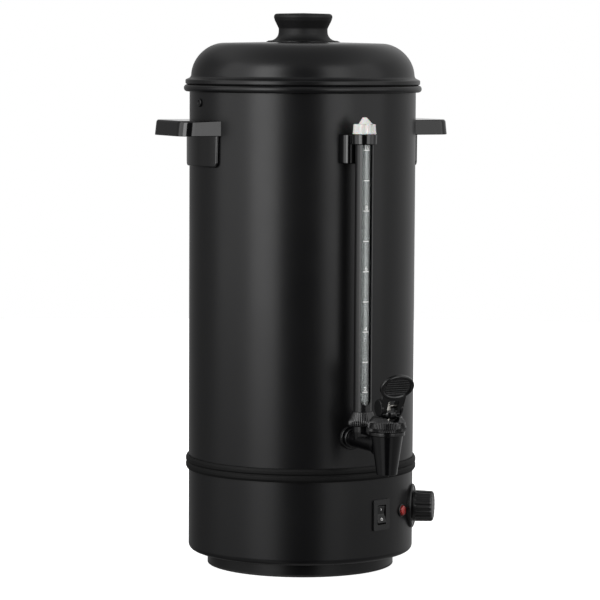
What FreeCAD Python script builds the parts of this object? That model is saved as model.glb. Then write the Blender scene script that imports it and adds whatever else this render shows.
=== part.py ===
import FreeCAD
import Part
import math
import os

# A ten litre hot water urn: a tall round tank on a base skirt and a smaller foot ring,
# a domed lid with a knob, two shelf handles, a guarded sight gauge and a lever tap.
# Millimetres. The origin is on the tank's axis at the surface that the foot stands on.
# +Z is up, the tap and gauge face -Y, and the handles are on the X axis.

Vector = FreeCAD.Vector
Rotation = FreeCAD.Rotation
Placement = FreeCAD.Placement
UP = Vector(0, 0, 1)
ALONG_X = Vector(1, 0, 0)
ALONG_Y = Vector(0, 1, 0)

# Driving dimensions of the tank, base and lid
SHEET = 1.2
TANK_R = 108.0
TANK_WALL = 1.0
TANK_BORE = TANK_R - TANK_WALL
TANK_LOW_Z = 100.2
FLOOR_Z = 119.5
BEAD_R = 3.0
BEAD_Z = 458.25
BEAD_OUT_R = 113.5
SKIRT_R = 107.9
SKIRT_LOW_Z = 13.8
SKIRT_BEND = 5.5
SKIRT_STEP_Z = 98.6
BELT_Z = 98.8
BELT_HALF = 6.4
BELT_R = 110.7
FOOT_R = 89.5
FOOT_FLANGE_R = 70.0
EDGING_BORE = 87.4
EDGING_H = 4.0
LID_RIM_R = 112.0
LID_RIM_Z = 461.55
LID_SIDE_R = 106.9
LID_TOP_Z = 501.3
LID_CORNER = (103.3, 498.9, 32.0)
LIP_R = 105.9
LIP_LOW_Z = 451.0
KNOB_TOP_Z = 528.1
KNOB_HOLE_R = 2.4
KNOB_FLANGE_R = 34.9
KNOB_FLANGE_T = 0.8
KNOB_WASHER_T = 1.4
FIT = 0.1
SCREW_R = 2.0

# Driving dimensions of the handles
HANDLE_HALF = 37.0
HANDLE_REACH = 141.7
HANDLE_BEND = 13.0
SHELF_LOW_Z = 412.5
SHELF_TOP_Z = 427.0
SHELF_WALL = 3.0
PLATE_LOW_Z = 383.0
PLATE_T = 3.2
HANDLE_SCREW_Y = 22.0
HANDLE_SCREW_Z = 418.0
STUD_Z = 443.2
STUD_TURN = 88.5

# Driving dimensions of the sight gauge
GAUGE_Y = -132.0
GUARD_R = 8.3
GUARD_BORE = 6.5
GUARD_LOW_Z = 157.2
GUARD_TOP_Z = 416.5
SLOT_HALF = 5.3
SLOT_LOW_Z = 167.0
SLOT_TOP_Z = 411.0
GLASS_R = 5.5
GLASS_BORE = 4.0
GLASS_LOW_Z = 147.0
GLASS_TOP_Z = 412.9
COLLAR_R = 11.7
COLLAR_LOW_Z = 407.0
BRACKET_HALF = 14.0
BRACKET_LOW_Z = 389.0
BRACKET_TOP_Z = 416.0
BRACKET_FRONT_Y = -122.0
BRACKET_BEND = 7.0
CAP_R = 11.0
CAP_FLUTES = 8
NUT_LOW_Z = 148.0
NUT_TOP_Z = 161.0
NUT_LOW_R = 13.0
NUT_TOP_R = 9.6
NUT_GROOVES = 32

# Driving dimensions of the tap
TAP_Y = -182.0
SHANK_Z = 134.0
SHANK_R = 8.0
SHANK_BORE = 4.2
THREAD_R = 6.0
SPOUT_LOW_Z = 108.5
SPOUT_TOP_Z = 144.3
SPOUT_LOW_R = 9.3
SPOUT_TOP_R = 14.5
TAP_RING_R = 16.2
TAP_RING_TOP_Z = 148.2
BONNET_R = 17.8
BONNET_LOW_Z = 148.7
BONNET_TOP_Z = 161.9
STEM_R = 3.0
STEM_TOP_Z = 175.6
PIN_Z = 170.6
PIN_R = 1.5
PIN_HALF = 10.2
TANG_HALF = 1.6
TANG_LOW_Z = 159.2
LEVER_TRAVEL = 30.0
LEVER_LEAN = 25.4
LEVER_HALF = 11.3
CHEEK_T = 2.7
LEVER_FOOT_Y = -188.6
LEVER_FOOT_Z = 164.9
PAD_HALF_W = 16.8
PAD_HALF_L = 12.4
PAD_UP = 28.65
PAD_RIBS = 7
RIB_PITCH = 2.35

# Driving dimensions of the controls and what the base holds
DIAL_TURN = 55.0
LAMP_TURN = 37.0
SWITCH_TURN = 19.0
CONTROL_Z = 58.0
DIAL_R = 15.0
DIAL_FRONT = 130.2
BEZEL_R = 21.0
BEZEL_FRONT = 109.8
ROCKER_TILT = 7.0
INLET_Z = 50.0
ELEMENT_RING_R = 60.0
ELEMENT_R = 4.0
ELEMENT_Z = 134.0
ELEMENT_LEG_TURN = 22.6
ELEMENT_BEND = 9.0


def outline(points, place):
    """Closed wire through (a, b, corner radius) points; place turns (a, b) into a vector."""
    corners = [place(a, b) for a, b, _ in points]
    count = len(points)
    spans = []
    for i, (_, _, radius) in enumerate(points):
        here = corners[i]
        back = (corners[i - 1] - here).normalize()
        ahead = (corners[(i + 1) % count] - here).normalize()
        if radius == 0:
            spans.append((here, here, here))
            continue
        half = back.getAngle(ahead) / 2
        inward = (back + ahead).normalize()
        reach = radius / math.tan(half)
        nearest = here + inward * (radius / math.sin(half) - radius)
        spans.append((here + back * reach, nearest, here + ahead * reach))
    edges = []
    for i, (start, middle, end) in enumerate(spans):
        if not start.isEqual(end, 1e-7):
            edges.append(Part.Arc(start, middle, end).toShape())
        following = spans[(i + 1) % count][0]
        if not end.isEqual(following, 1e-7):
            edges.append(Part.LineSegment(end, following).toShape())
    return Part.Wire(edges)


def turned(points, x=0.0, y=0.0):
    """Solid of revolution about a vertical axis at x, y from (r, z, corner radius) points."""
    face = Part.Face(outline(points, lambda r, z: Vector(r, 0, z)))
    solid = face.revolve(Vector(0, 0, 0), UP, 360)
    solid.translate(Vector(x, y, 0))
    return solid


def plate(points, z0, z1):
    """Upright prism with an outline of (x, y, corner radius) points."""
    face = Part.Face(outline(points, lambda x, y: Vector(x, y, z0)))
    return face.extrude(Vector(0, 0, z1 - z0))


def slab(points, x0, x1):
    """Prism along X with an outline of (y, z, corner radius) points."""
    face = Part.Face(outline(points, lambda y, z: Vector(x0, y, z)))
    return face.extrude(Vector(x1 - x0, 0, 0))


def post(radius, z0, z1, x=0.0, y=0.0):
    """Upright round bar."""
    return Part.makeCylinder(radius, z1 - z0, Vector(x, y, z0))


def bar_x(radius, x0, x1, y, z):
    """Round bar along X."""
    return Part.makeCylinder(radius, x1 - x0, Vector(x0, y, z), ALONG_X)


def bar_y(radius, y0, y1, x, z):
    """Round bar along Y."""
    return Part.makeCylinder(radius, y1 - y0, Vector(x, y0, z), ALONG_Y)


def block(x0, x1, y0, y1, z0, z1):
    """Box between two corners."""
    return Part.makeBox(x1 - x0, y1 - y0, z1 - z0, Vector(x0, y0, z0))


def fused(*shapes):
    """One solid from shapes that overlap."""
    return shapes[0].multiFuse(list(shapes[1:])).removeSplitter()


def hexagon(across, z0, z1, x=0.0, y=0.0):
    """Upright hexagonal prism, by its width across the flats, with two flats facing Y."""
    corner = across / math.sqrt(3)
    turns = [math.radians(60 * k) for k in range(6)]
    points = [(x + corner * math.cos(t), y + corner * math.sin(t), 0) for t in turns]
    return plate(points, z0, z1)


def on_side(shape, turn, z):
    """Move a shape drawn along +X from the tank's axis to a turn from the front and a height."""
    moved = shape.copy()
    moved.Placement = Placement(Vector(0, 0, z), Rotation(UP, turn - 90)).multiply(moved.Placement)
    return moved


def laid_along_y(shape, y, z):
    """Lay an upright shape down, so that its +Z points along -Y from y, z."""
    moved = shape.copy()
    moved.Placement = Placement(Vector(0, y, z), Rotation(ALONG_X, 90)).multiply(moved.Placement)
    return moved


def mirrored(shape):
    """The same piece on the other side of the YZ plane."""
    return shape.mirror(Vector(0, 0, 0), ALONG_X)


def around(shape, count, x=0.0, y=0.0, start=0.0):
    """Copies of a shape, evenly spaced about an upright axis."""
    copies = []
    for k in range(count):
        copy = shape.copy()
        copy.rotate(Vector(x, y, 0), UP, start + 360.0 * k / count)
        copies.append(copy)
    return copies


def smooth_path(points):
    """Straight runs joined by tangent arcs, each as large as its two runs allow."""
    runs = [(points[i + 1] - points[i]).Length for i in range(len(points) - 1)]
    edges = []
    last = points[0]
    for i in range(1, len(points) - 1):
        back = (points[i - 1] - points[i]).normalize()
        ahead = (points[i + 1] - points[i]).normalize()
        reach = 0.45 * min(runs[i - 1], runs[i])
        half = back.getAngle(ahead) / 2
        radius = reach * math.tan(half)
        start = points[i] + back * reach
        end = points[i] + ahead * reach
        inward = (back + ahead).normalize()
        middle = points[i] + inward * (radius / math.sin(half) - radius)
        edges.append(Part.LineSegment(last, start).toShape())
        edges.append(Part.Arc(start, middle, end).toShape())
        last = end
    edges.append(Part.LineSegment(last, points[-1]).toShape())
    return Part.Wire(edges)


def tube_on(path, radius):
    """Round bar along a path that starts with a straight run."""
    first = path.Edges[0]
    start = first.valueAt(first.FirstParameter)
    heading = first.tangentAt(first.FirstParameter)
    section = Part.Wire(Part.makeCircle(radius, start, heading))
    return path.makePipeShell([section], True, False)


def tangent_pair(p0, t0, p1, t1):
    """Two arcs that leave p0 along t0, meet smoothly and reach p1 along t1."""
    chord = p1 - p0
    both = t0 + t1
    bend = 2 * (1 - t0.dot(t1))
    reach = (-chord.dot(both) + math.sqrt(chord.dot(both) ** 2 + bend * chord.dot(chord))) / bend
    q0 = p0 + t0 * reach
    q1 = p1 - t1 * reach
    joint = (q0 + q1) * 0.5
    arcs = []
    for a, q, b in ((p0, q0, joint), (joint, q1, p1)):
        centre = (a + b) * 0.5
        half_chord = (b - a).Length / 2
        rise = (q - centre).Length
        sag = half_chord * math.tan(math.atan2(rise, half_chord) / 2)
        arcs.append(Part.Arc(a, centre + (q - centre).normalize() * sag, b).toShape())
    return arcs


def coil_spring(coil_r, wire_r, z0, z1, turns, x, y):
    """Open coil of round wire about an upright axis, built on quarter turns."""
    pitch = (z1 - z0 - 2 * wire_r) / turns
    quarters = int(turns * 4)
    climb = pitch / (2 * math.pi)

    def at(k):
        t = k * math.pi / 2
        place = Vector(x + coil_r * math.cos(t), y + coil_r * math.sin(t), z0 + wire_r + climb * t)
        heading = Vector(-coil_r * math.sin(t), coil_r * math.cos(t), climb)
        return place, heading.normalize()

    edges = []
    for k in range(quarters):
        edges += tangent_pair(*at(k), *at(k + 1))
    gap = pitch - 2 * wire_r
    print("spring gap between turns %.2f mm" % gap)
    start, heading = at(0)
    section = Part.Wire(Part.makeCircle(wire_r, start, heading))
    return Part.Wire(edges).makePipeShell([section], True, False)


def save(name, *solids):
    """Write one node, as its separate closed solids."""
    found = [piece for solid in solids for piece in solid.Solids]
    whole = found[0] if len(found) == 1 else Part.makeCompound(found)
    whole.exportStep("parts/%s.step" % name)
    volume = sum(piece.Volume for piece in found)
    state = "" if all(piece.isValid() for piece in found) else " NOT VALID"
    print("%-22s %2d solid(s) %10.0f mm3%s" % (name, len(found), volume, state))


def shell_cylinder(radius):
    """Upright bar as tall as the urn, for trimming a piece to the round wall."""
    return post(radius, -10, LID_TOP_Z + 50)


def tank_shell():
    """Rolled sheet wall with a wired bead at its mouth and holes for what it carries."""
    wall = turned([(TANK_BORE, TANK_LOW_Z, 0), (TANK_R, TANK_LOW_Z, 0),
                   (TANK_R, BEAD_Z, 0), (TANK_BORE, BEAD_Z, 0)])
    bead = Part.makeTorus(BEAD_OUT_R - BEAD_R, BEAD_R, Vector(0, 0, BEAD_Z))
    bored = shell_cylinder(TANK_BORE)
    shell = fused(wall, bead).cut(bored)
    holes = [bar_y(THREAD_R + FIT, -TANK_R - 5, -TANK_R + 9, 0, SHANK_Z)]
    for z in bracket_screw_heights():
        holes.append(bar_y(SCREW_R + FIT, -TANK_R - 5, -TANK_R + 5, 0, z))
    for side in (-1, 1):
        for y in (-HANDLE_SCREW_Y, HANDLE_SCREW_Y):
            holes.append(bar_x(SCREW_R + FIT, min(side * 95, side * 115),
                               max(side * 95, side * 115), y, HANDLE_SCREW_Z))
        holes.append(on_side(bar_x(SCREW_R + FIT, 100, 115, 0, 0), side * STUD_TURN, STUD_Z))
    return shell.cut(holes)


def tank_floor():
    """Pressed disc with a flange turned down inside the wall."""
    out = TANK_BORE - FIT
    low = FLOOR_Z - 7
    disc = turned([(0, FLOOR_Z - SHEET, 0), (out - SHEET, FLOOR_Z - SHEET, 2), (out - SHEET, low, 0),
                   (out, low, 0), (out, FLOOR_Z, 3.2), (0, FLOOR_Z, 0)])
    holes = [post(7.0 + FIT, FLOOR_Z - 5, FLOOR_Z + 5, x, y) for x, y in element_legs()]
    return disc.cut(holes)


def belt_band():
    """Band with two rolled beads over the seam of tank and skirt."""
    back = TANK_R + 0.05
    low = BELT_Z - BELT_HALF
    high = BELT_Z + BELT_HALF
    return turned([(back, low, 0), (BELT_R - 1.1, low, 0.8), (BELT_R, low + 2.2, 1.5),
                   (BELT_R, BELT_Z - 1.4, 1.2), (BELT_R - 1.2, BELT_Z, 0.8),
                   (BELT_R, BELT_Z + 1.4, 1.2), (BELT_R, high - 2.2, 1.5),
                   (BELT_R - 1.1, high, 0.8), (back, high, 0)])


def base_skirt():
    """Sheet skirt, rounded in at the foot and stepped in at the top to enter the tank wall."""
    out = SKIRT_R
    step = TANK_BORE - FIT
    low = SKIRT_LOW_Z
    high = FLOOR_Z - 7.4
    body = turned([(FOOT_FLANGE_R, low, 0), (out, low, SKIRT_BEND), (out, SKIRT_STEP_Z, 0.5),
                   (step, SKIRT_STEP_Z + 1.2, 0.5), (step, high, 0), (step - SHEET, high, 0),
                   (step - SHEET, SKIRT_STEP_Z, 0.5), (out - SHEET, SKIRT_STEP_Z - 1.2, 0.5),
                   (out - SHEET, low + SHEET, SKIRT_BEND - SHEET), (FOOT_FLANGE_R, low + SHEET, 0)])
    holes = [on_side(bar_x(5.0 + FIT, 100, 115, 0, 0), DIAL_TURN, CONTROL_Z),
             on_side(bar_x(4.5 + FIT, 100, 115, 0, 0), LAMP_TURN, CONTROL_Z),
             on_side(block(95, 115, -7.6, 7.6, -11.1, 11.1), SWITCH_TURN, CONTROL_Z),
             on_side(block(95, 115, -13.6, 13.6, -10.1, 10.1), 180, INLET_Z)]
    for y in (-20, 20):
        holes.append(on_side(bar_x(1.6 + FIT, 95, 115, y, 0), 180, INLET_Z))
    holes += around(post(SCREW_R + FIT, low - 2, low + 4, 78, 0), 4, start=45)
    return body.cut(holes)


def foot_ring():
    """Smaller ring under the skirt, with a flange at the top."""
    flange_low = SKIRT_LOW_Z - SHEET
    ring = turned([(FOOT_FLANGE_R, flange_low, 0), (FOOT_R - SHEET, flange_low, 1),
                   (FOOT_R - SHEET, 2.0, 0), (FOOT_R, 2.0, 0), (FOOT_R, SKIRT_LOW_Z, 1.5),
                   (FOOT_FLANGE_R, SKIRT_LOW_Z, 0)])
    return ring.cut(around(post(SCREW_R + FIT, 10, 20, 78, 0), 4, start=45))


def foot_edging():
    """Rubber ring under and inside the foot ring's edge; the urn stands on it."""
    return turned([(EDGING_BORE, 0, 0), (FOOT_R, 0, 0.9), (FOOT_R, 1.95, 0),
                   (FOOT_R - SHEET - 0.05, 1.95, 0), (FOOT_R - SHEET - 0.05, EDGING_H, 0),
                   (EDGING_BORE, EDGING_H, 0)])


def bottom_plate():
    """Sheet cover under the base with vent slots."""
    high = SKIRT_LOW_Z - SHEET
    disc = post(86, high - SHEET, high)
    slot = plate([(30, -2, 1.9), (58, -2, 1.9), (58, 2, 1.9), (30, 2, 1.9)], 5, 20)
    return disc.cut(around(slot, 12) + around(post(SCREW_R + FIT, 5, 20, 78, 0), 4, start=45))


def bottom_screws():
    """Pan head screws that hold plate, foot ring and skirt together."""
    under = SKIRT_LOW_Z - 2 * SHEET
    head = turned([(0, under - 2.4, 0), (3.8, under - 2.4, 1.2), (3.8, under, 0), (0, under, 0)], 78)
    cross = fused(block(75.8, 80.2, -0.5, 0.5, under - 3, under - 1.2),
                  block(77.5, 78.5, -2.2, 2.2, under - 3, under - 1.2))
    screw = fused(head, post(SCREW_R, under, SKIRT_LOW_Z + 8, 78, 0)).cut(cross)
    return around(screw, 4, start=45)


def bottom_nuts():
    """Hexagon nuts inside the skirt's turned in edge."""
    low = SKIRT_LOW_Z + SHEET
    nut = hexagon(7, low, low + 3.2, 78, 0).cut(post(SCREW_R + 0.02, 10, 30, 78, 0))
    return around(nut, 4, start=45)


def handle_right():
    """Moulded shelf handle: a hollow shelf over a plate that hugs the wall."""
    def shelf_outline(inset, z):
        far = HANDLE_REACH - inset - (z - SHELF_LOW_Z) * 0.09
        half = HANDLE_HALF - inset
        bend = HANDLE_BEND - inset
        return outline([(90, -half, 0), (far, -half, bend), (far, half, bend), (90, half, 0)],
                       lambda x, y: Vector(x, y, z))
    wall = shell_cylinder(TANK_R + 0.15)
    plate_out = shell_cylinder(TANK_R + PLATE_T)
    shelf = Part.makeLoft([shelf_outline(0, SHELF_LOW_Z), shelf_outline(0, SHELF_TOP_Z)], True, True)
    crown = [edge for edge in shelf.Edges
             if edge.BoundBox.ZMin > SHELF_TOP_Z - 0.01 and edge.BoundBox.XMax > 95]
    shelf = shelf.makeFillet(2.4, crown)
    ceiling = SHELF_TOP_Z - SHELF_WALL
    pocket = Part.makeLoft([shelf_outline(SHELF_WALL, SHELF_LOW_Z - 1),
                            shelf_outline(SHELF_WALL, ceiling)], True, True).cut(plate_out)
    grip = shelf.cut(pocket)
    back = slab([(-HANDLE_HALF + 1.2, PLATE_LOW_Z, 5), (HANDLE_HALF - 1.2, PLATE_LOW_Z, 5),
                 (HANDLE_HALF, SHELF_TOP_Z - 2.4, 0), (-HANDLE_HALF, SHELF_TOP_Z - 2.4, 0)], 80, 130)
    back = back.common(plate_out)
    bosses = [bar_x(4.9, TANK_R, 127, y, HANDLE_SCREW_Z) for y in (-HANDLE_SCREW_Y, HANDLE_SCREW_Y)]
    ribs = [block(TANK_R, 127, y - 1.2, y + 1.2, HANDLE_SCREW_Z, ceiling + 1)
            for y in (-HANDLE_SCREW_Y, HANDLE_SCREW_Y)]
    drilled = [bar_x(SCREW_R + 0.03, 90, 124.5, y, HANDLE_SCREW_Z)
               for y in (-HANDLE_SCREW_Y, HANDLE_SCREW_Y)]
    return fused(grip, back, *bosses, *ribs).cut(wall).cut(drilled)


def handle_screws():
    """Screws from inside the tank into the handles' bosses."""
    right = []
    for y in (-HANDLE_SCREW_Y, HANDLE_SCREW_Y):
        head = turned([(0, 0, 0), (4.2, 0, 0), (4.2, 2.6, 1.2), (0, 2.6, 0)])
        head.rotate(Vector(0, 0, 0), ALONG_Y, -90)
        head.translate(Vector(101, y, HANDLE_SCREW_Z))
        right.append(fused(head, bar_x(SCREW_R, 101, 123.5, y, HANDLE_SCREW_Z)))
    return right + [mirrored(screw) for screw in right]


def handle_seals():
    """Rubber washers under the handle screws' heads, shaped to the wall."""
    right = []
    for y in (-HANDLE_SCREW_Y, HANDLE_SCREW_Y):
        washer = bar_x(6, 101, 115, y, HANDLE_SCREW_Z).common(shell_cylinder(TANK_BORE - 0.05))
        right.append(washer.cut(bar_x(SCREW_R + FIT, 90, 120, y, HANDLE_SCREW_Z)))
    return right + [mirrored(washer) for washer in right]


def rim_studs():
    """Round headed rivets above the handles."""
    head = turned([(0, TANK_R - 2, 0), (SCREW_R, TANK_R - 2, 0), (SCREW_R, TANK_R + 0.1, 0),
                   (3.9, TANK_R + 0.1, 0), (3.9, TANK_R + 1.5, 0.9), (2.4, TANK_R + 1.5, 0.3),
                   (2.4, TANK_R + 1.0, 0.3), (0, TANK_R + 1.0, 0)])
    tail = turned([(0, 104.6, 0), (3.6, 104.6, 1), (3.6, TANK_BORE - 0.1, 0), (SCREW_R, TANK_BORE - 0.1, 0),
                   (SCREW_R, TANK_R, 0), (0, TANK_R, 0)])
    stud = fused(head, tail)
    stud.rotate(Vector(0, 0, 0), ALONG_Y, 90)
    stud = on_side(stud, STUD_TURN, STUD_Z)
    return [stud, mirrored(stud)]


def bracket_screw_heights():
    """Heights of the two screws that hold the gauge bracket."""
    return (BRACKET_LOW_Z + 7, BRACKET_TOP_Z - 7)


def gauge_bracket():
    """Block on the wall with a collar that holds the guard's upper end."""
    body = plate([(-BRACKET_HALF, -100, 0), (-BRACKET_HALF, BRACKET_FRONT_Y, BRACKET_BEND),
                  (BRACKET_HALF, BRACKET_FRONT_Y, BRACKET_BEND), (BRACKET_HALF, -100, 0)],
                 BRACKET_LOW_Z, BRACKET_TOP_Z)
    neck = block(-7, 7, -126, -119, COLLAR_LOW_Z, BRACKET_TOP_Z)
    collar = turned([(5, COLLAR_LOW_Z, 0), (COLLAR_R - 0.4, COLLAR_LOW_Z, 0.8),
                     (COLLAR_R, GUARD_TOP_Z, 0.5), (5, GUARD_TOP_Z, 0)], 0, GAUGE_Y)
    holes = [bar_y(SCREW_R + 0.03, -116.2, -95, 0, z) for z in bracket_screw_heights()]
    return fused(body, neck, collar).cut([shell_cylinder(TANK_R + 0.15),
                                          post(GUARD_R + FIT, 380, 430, 0, GAUGE_Y)] + holes)


def bracket_screws():
    """Screws from inside the tank into the gauge bracket."""
    screws = []
    for z in bracket_screw_heights():
        head = laid_along_y(turned([(0, -2.6, 0), (4.2, -2.6, 1.2), (4.2, 0, 0), (0, 0, 0)]), -104.5, z)
        screws.append(fused(head, bar_y(SCREW_R, -115.4, -104.5, 0, z)))
    return screws


def bracket_seals():
    """Rubber washers under the bracket screws' heads."""
    washers = []
    for z in bracket_screw_heights():
        ring = bar_y(6, -110, -104.5, 0, z).common(shell_cylinder(TANK_BORE - 0.05))
        washers.append(ring.cut(bar_y(SCREW_R + FIT, -115, -100, 0, z)))
    return washers


def gauge_guard():
    """Tube round the glass with a long window to the front."""
    tube = post(GUARD_R, GUARD_LOW_Z, GUARD_TOP_Z, 0, GAUGE_Y)
    bore = post(GUARD_BORE, GUARD_LOW_Z - 1, GUARD_TOP_Z + 1, 0, GAUGE_Y)
    window = fused(block(-SLOT_HALF, SLOT_HALF, GAUGE_Y - 12, GAUGE_Y, SLOT_LOW_Z + SLOT_HALF, SLOT_TOP_Z),
                   bar_y(SLOT_HALF, GAUGE_Y - 12, GAUGE_Y, 0, SLOT_LOW_Z + SLOT_HALF))
    return tube.cut([bore, window])


def gauge_glass():
    """Clear tube that shows the level."""
    return turned([(GLASS_BORE, GLASS_LOW_Z, 0), (GLASS_R, GLASS_LOW_Z, 0),
                   (GLASS_R, GLASS_TOP_Z, 0.4), (GLASS_BORE, GLASS_TOP_Z, 0.4)], 0, GAUGE_Y)


def gauge_cap():
    """Fluted cap with a pointed grip and a short plug in the guard."""
    low = GUARD_TOP_Z + 0.15
    high = low + 9.2
    body = turned([(0, low - 2, 0), (GUARD_BORE - FIT, low - 2, 0), (GUARD_BORE - FIT, low, 0),
                   (CAP_R, low, 0.5), (CAP_R - 0.6, high, 0.6), (7.0, high, 0.8), (1.2, high + 6.2, 0.8),
                   (0, high + 6.2, 0)], 0, GAUGE_Y)
    flute = post(1.9, low + 1.2, high + 1, 0, GAUGE_Y - CAP_R - 0.9)
    return body.cut(around(flute, CAP_FLUTES, 0, GAUGE_Y, 22.5))


def gauge_seals():
    """Rubber rings at the glass's top end and round its lower end."""
    top = turned([(3, GLASS_TOP_Z + 0.05, 0), (GUARD_BORE - 0.15, GLASS_TOP_Z + 0.05, 0),
                  (GUARD_BORE - 0.15, GLASS_TOP_Z + 1.7, 0), (3, GLASS_TOP_Z + 1.7, 0)], 0, GAUGE_Y)
    low = turned([(GLASS_R + 0.05, 154, 0), (8.6, 154, 0), (8.6, 155.4, 0), (GLASS_R + 0.05, 155.4, 0)],
                 0, GAUGE_Y)
    return [top, low]


def gauge_nut():
    """Flared knurled nut that clamps the glass and guard to the tee."""
    body = turned([(4, NUT_LOW_Z, 0), (NUT_LOW_R, NUT_LOW_Z, 0.8), (NUT_LOW_R, NUT_LOW_Z + 2.5, 0.8),
                   (NUT_TOP_R, NUT_TOP_Z, 0.6), (4, NUT_TOP_Z, 0)], 0, GAUGE_Y)
    bores = [post(8.9, NUT_LOW_Z - 1, 155.5, 0, GAUGE_Y),
             post(GLASS_R + FIT, 150, NUT_TOP_Z + 1, 0, GAUGE_Y),
             post(GUARD_R + FIT, GUARD_LOW_Z - 0.1, NUT_TOP_Z + 1, 0, GAUGE_Y)]
    start = Vector(0, GAUGE_Y - NUT_LOW_R - 0.2, NUT_LOW_Z + 1.2)
    lean = Vector(0, NUT_LOW_R - NUT_TOP_R, NUT_TOP_Z - NUT_LOW_Z - 2.5)
    groove = Part.makeCylinder(0.5, 14, start, lean)
    return body.cut(bores + around(groove, NUT_GROOVES, 0, GAUGE_Y))


def tap_shank():
    """Tee that carries water from the tank to the gauge above it and the tap ahead of it."""
    pipe = bar_y(SHANK_R, TAP_Y + 11.5, -111, 0, SHANK_Z)
    disc = turned([(0, 0, 0), (11.4, 0, 0), (11.4, 1.8, 1), (0, 1.8, 0)])
    hub = turned([(0, 0, 0), (9.6, 0, 0), (9.6, 5, 1.4), (0, 5, 0)])
    flange = fused(laid_along_y(disc, -110.2, SHANK_Z), laid_along_y(hub, -111.5, SHANK_Z))
    thread = bar_y(THREAD_R, -112, -92, 0, SHANK_Z)
    branch = turned([(0, SHANK_Z, 0), (SHANK_R, SHANK_Z, 0), (9.2, 142.5, 0), (9.2, 147.2, 0.3),
                     (8.85, 147.9, 0), (8.85, 153.9, 0.4), (0, 153.9, 0)], 0, GAUGE_Y)
    bores = [bar_y(SHANK_BORE, TAP_Y + 5, -85, 0, SHANK_Z),
             post(GLASS_BORE, SHANK_Z, 170, 0, GAUGE_Y),
             post(GLASS_R + 0.08, GLASS_LOW_Z - 0.05, 170, 0, GAUGE_Y)]
    return fused(pipe, flange, thread, branch).cut(bores)


def shank_seals():
    """Rubber washers on both sides of the wall, shaped to it."""
    outer = bar_y(10.8, -110.15, -100, 0, SHANK_Z).cut(shell_cylinder(TANK_R + 0.05))
    inner = bar_y(9.4, -115, -103.6, 0, SHANK_Z).common(shell_cylinder(TANK_BORE - 0.05))
    hole = bar_y(THREAD_R + FIT, -120, -90, 0, SHANK_Z)
    return [outer.cut(hole), inner.cut(hole)]


def shank_nut():
    """Hexagon nut inside the tank."""
    nut = laid_along_y(hexagon(19, 0, 6), -97.5, SHANK_Z)
    return nut.cut(bar_y(THREAD_R + 0.02, -110, -90, 0, SHANK_Z))


def tap_body():
    """Tapered spout with the valve chamber, its seat and a socket for the shank."""
    cone = turned([(0, SPOUT_LOW_Z, 0), (SPOUT_LOW_R, SPOUT_LOW_Z, 0.6), (SPOUT_TOP_R, SPOUT_TOP_Z, 0),
                   (TAP_RING_R, SPOUT_TOP_Z + 0.6, 0.6), (TAP_RING_R, TAP_RING_TOP_Z, 0.6),
                   (13, TAP_RING_TOP_Z, 0), (13, 152.8, 0.5), (0, 152.8, 0)], 0, TAP_Y)
    socket = bar_y(10.4, TAP_Y + 4, TAP_Y + 16, 0, SHANK_Z)
    chamber = turned([(0, 120, 0), (4.5, 120, 0), (4.5, 126, 0), (9.4, 126, 1), (9.4, 160, 0), (0, 160, 0)],
                     0, TAP_Y)
    outlet = turned([(0, 100, 0), (6.8, 100, 0), (6.8, 121, 1.5), (0, 121, 0)], 0, TAP_Y)
    way_in = bar_y(SHANK_BORE, TAP_Y + 5, TAP_Y + 20, 0, SHANK_Z)
    seat_for_shank = bar_y(SHANK_R + 0.05, TAP_Y + 11.4, TAP_Y + 20, 0, SHANK_Z)
    return fused(cone, socket).cut([chamber, outlet, way_in, seat_for_shank])


def tap_bonnet():
    """Knurled domed cap that closes the chamber and guides the stem."""
    dome = turned([(0, BONNET_LOW_Z, 0), (BONNET_R, BONNET_LOW_Z, 0.4), (BONNET_R, 155.0, 3.5),
                   (14.6, 160.2, 2.5), (10.4, BONNET_TOP_Z, 1.2), (0, BONNET_TOP_Z, 0)], 0, TAP_Y)
    thread = post(13.05, BONNET_LOW_Z - 1, 153, 0, TAP_Y)
    spring_room = post(8.6, 150, 154.4, 0, TAP_Y)
    guide = post(STEM_R + 0.08, 150, 165, 0, TAP_Y)
    scoop = bar_y(7.9, TAP_Y - 20, TAP_Y + 9, 0, LEVER_FOOT_Z + 0.6)
    bowl = turned([(0, 158.6, 0), (8.2, 158.6, 1.5), (8.2, 165, 0), (0, 165, 0)], 0, TAP_Y)
    groove = Part.makeCylinder(0.5, 6.4, Vector(0, TAP_Y - BONNET_R, BONNET_LOW_Z + 0.8))
    return dome.cut([thread, spring_room, guide, scoop, bowl] + around(groove, 48, 0, TAP_Y))


def tap_stem():
    """Metal stem with a collar under the spring and a flat tang for the lever's pin."""
    stem = turned([(0, 127.5, 0), (2.2, 127.5, 0.4), (2.2, 133.4, 0), (6, 133.4, 0.3), (6, 135, 0.3),
                   (STEM_R, 135, 0), (STEM_R, STEM_TOP_Z, 1.4), (0, STEM_TOP_Z, 0)], 0, TAP_Y)
    flats = [block(-5, 5, TAP_Y + TANG_HALF, TAP_Y + 5, TANG_LOW_Z, 180),
             block(-5, 5, TAP_Y - 5, TAP_Y - TANG_HALF, TANG_LOW_Z, 180)]
    return stem.cut(flats + [bar_x(PIN_R + 0.03, -10, 10, TAP_Y, PIN_Z)])


def seat_cup():
    """Rubber cup on the stem's foot that closes the seat."""
    return turned([(0, 126.05, 0), (7.2, 126.05, 0.8), (7.2, 129, 0.8), (4.2, 130.4, 0), (4.2, 133.3, 0.4),
                   (2.25, 133.3, 0), (2.25, 127.4, 0), (0, 127.4, 0)], 0, TAP_Y)


def lever_pin():
    """Cross pin that joins the lever to the stem."""
    return bar_x(PIN_R, -PIN_HALF, PIN_HALF, TAP_Y, PIN_Z)


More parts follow.
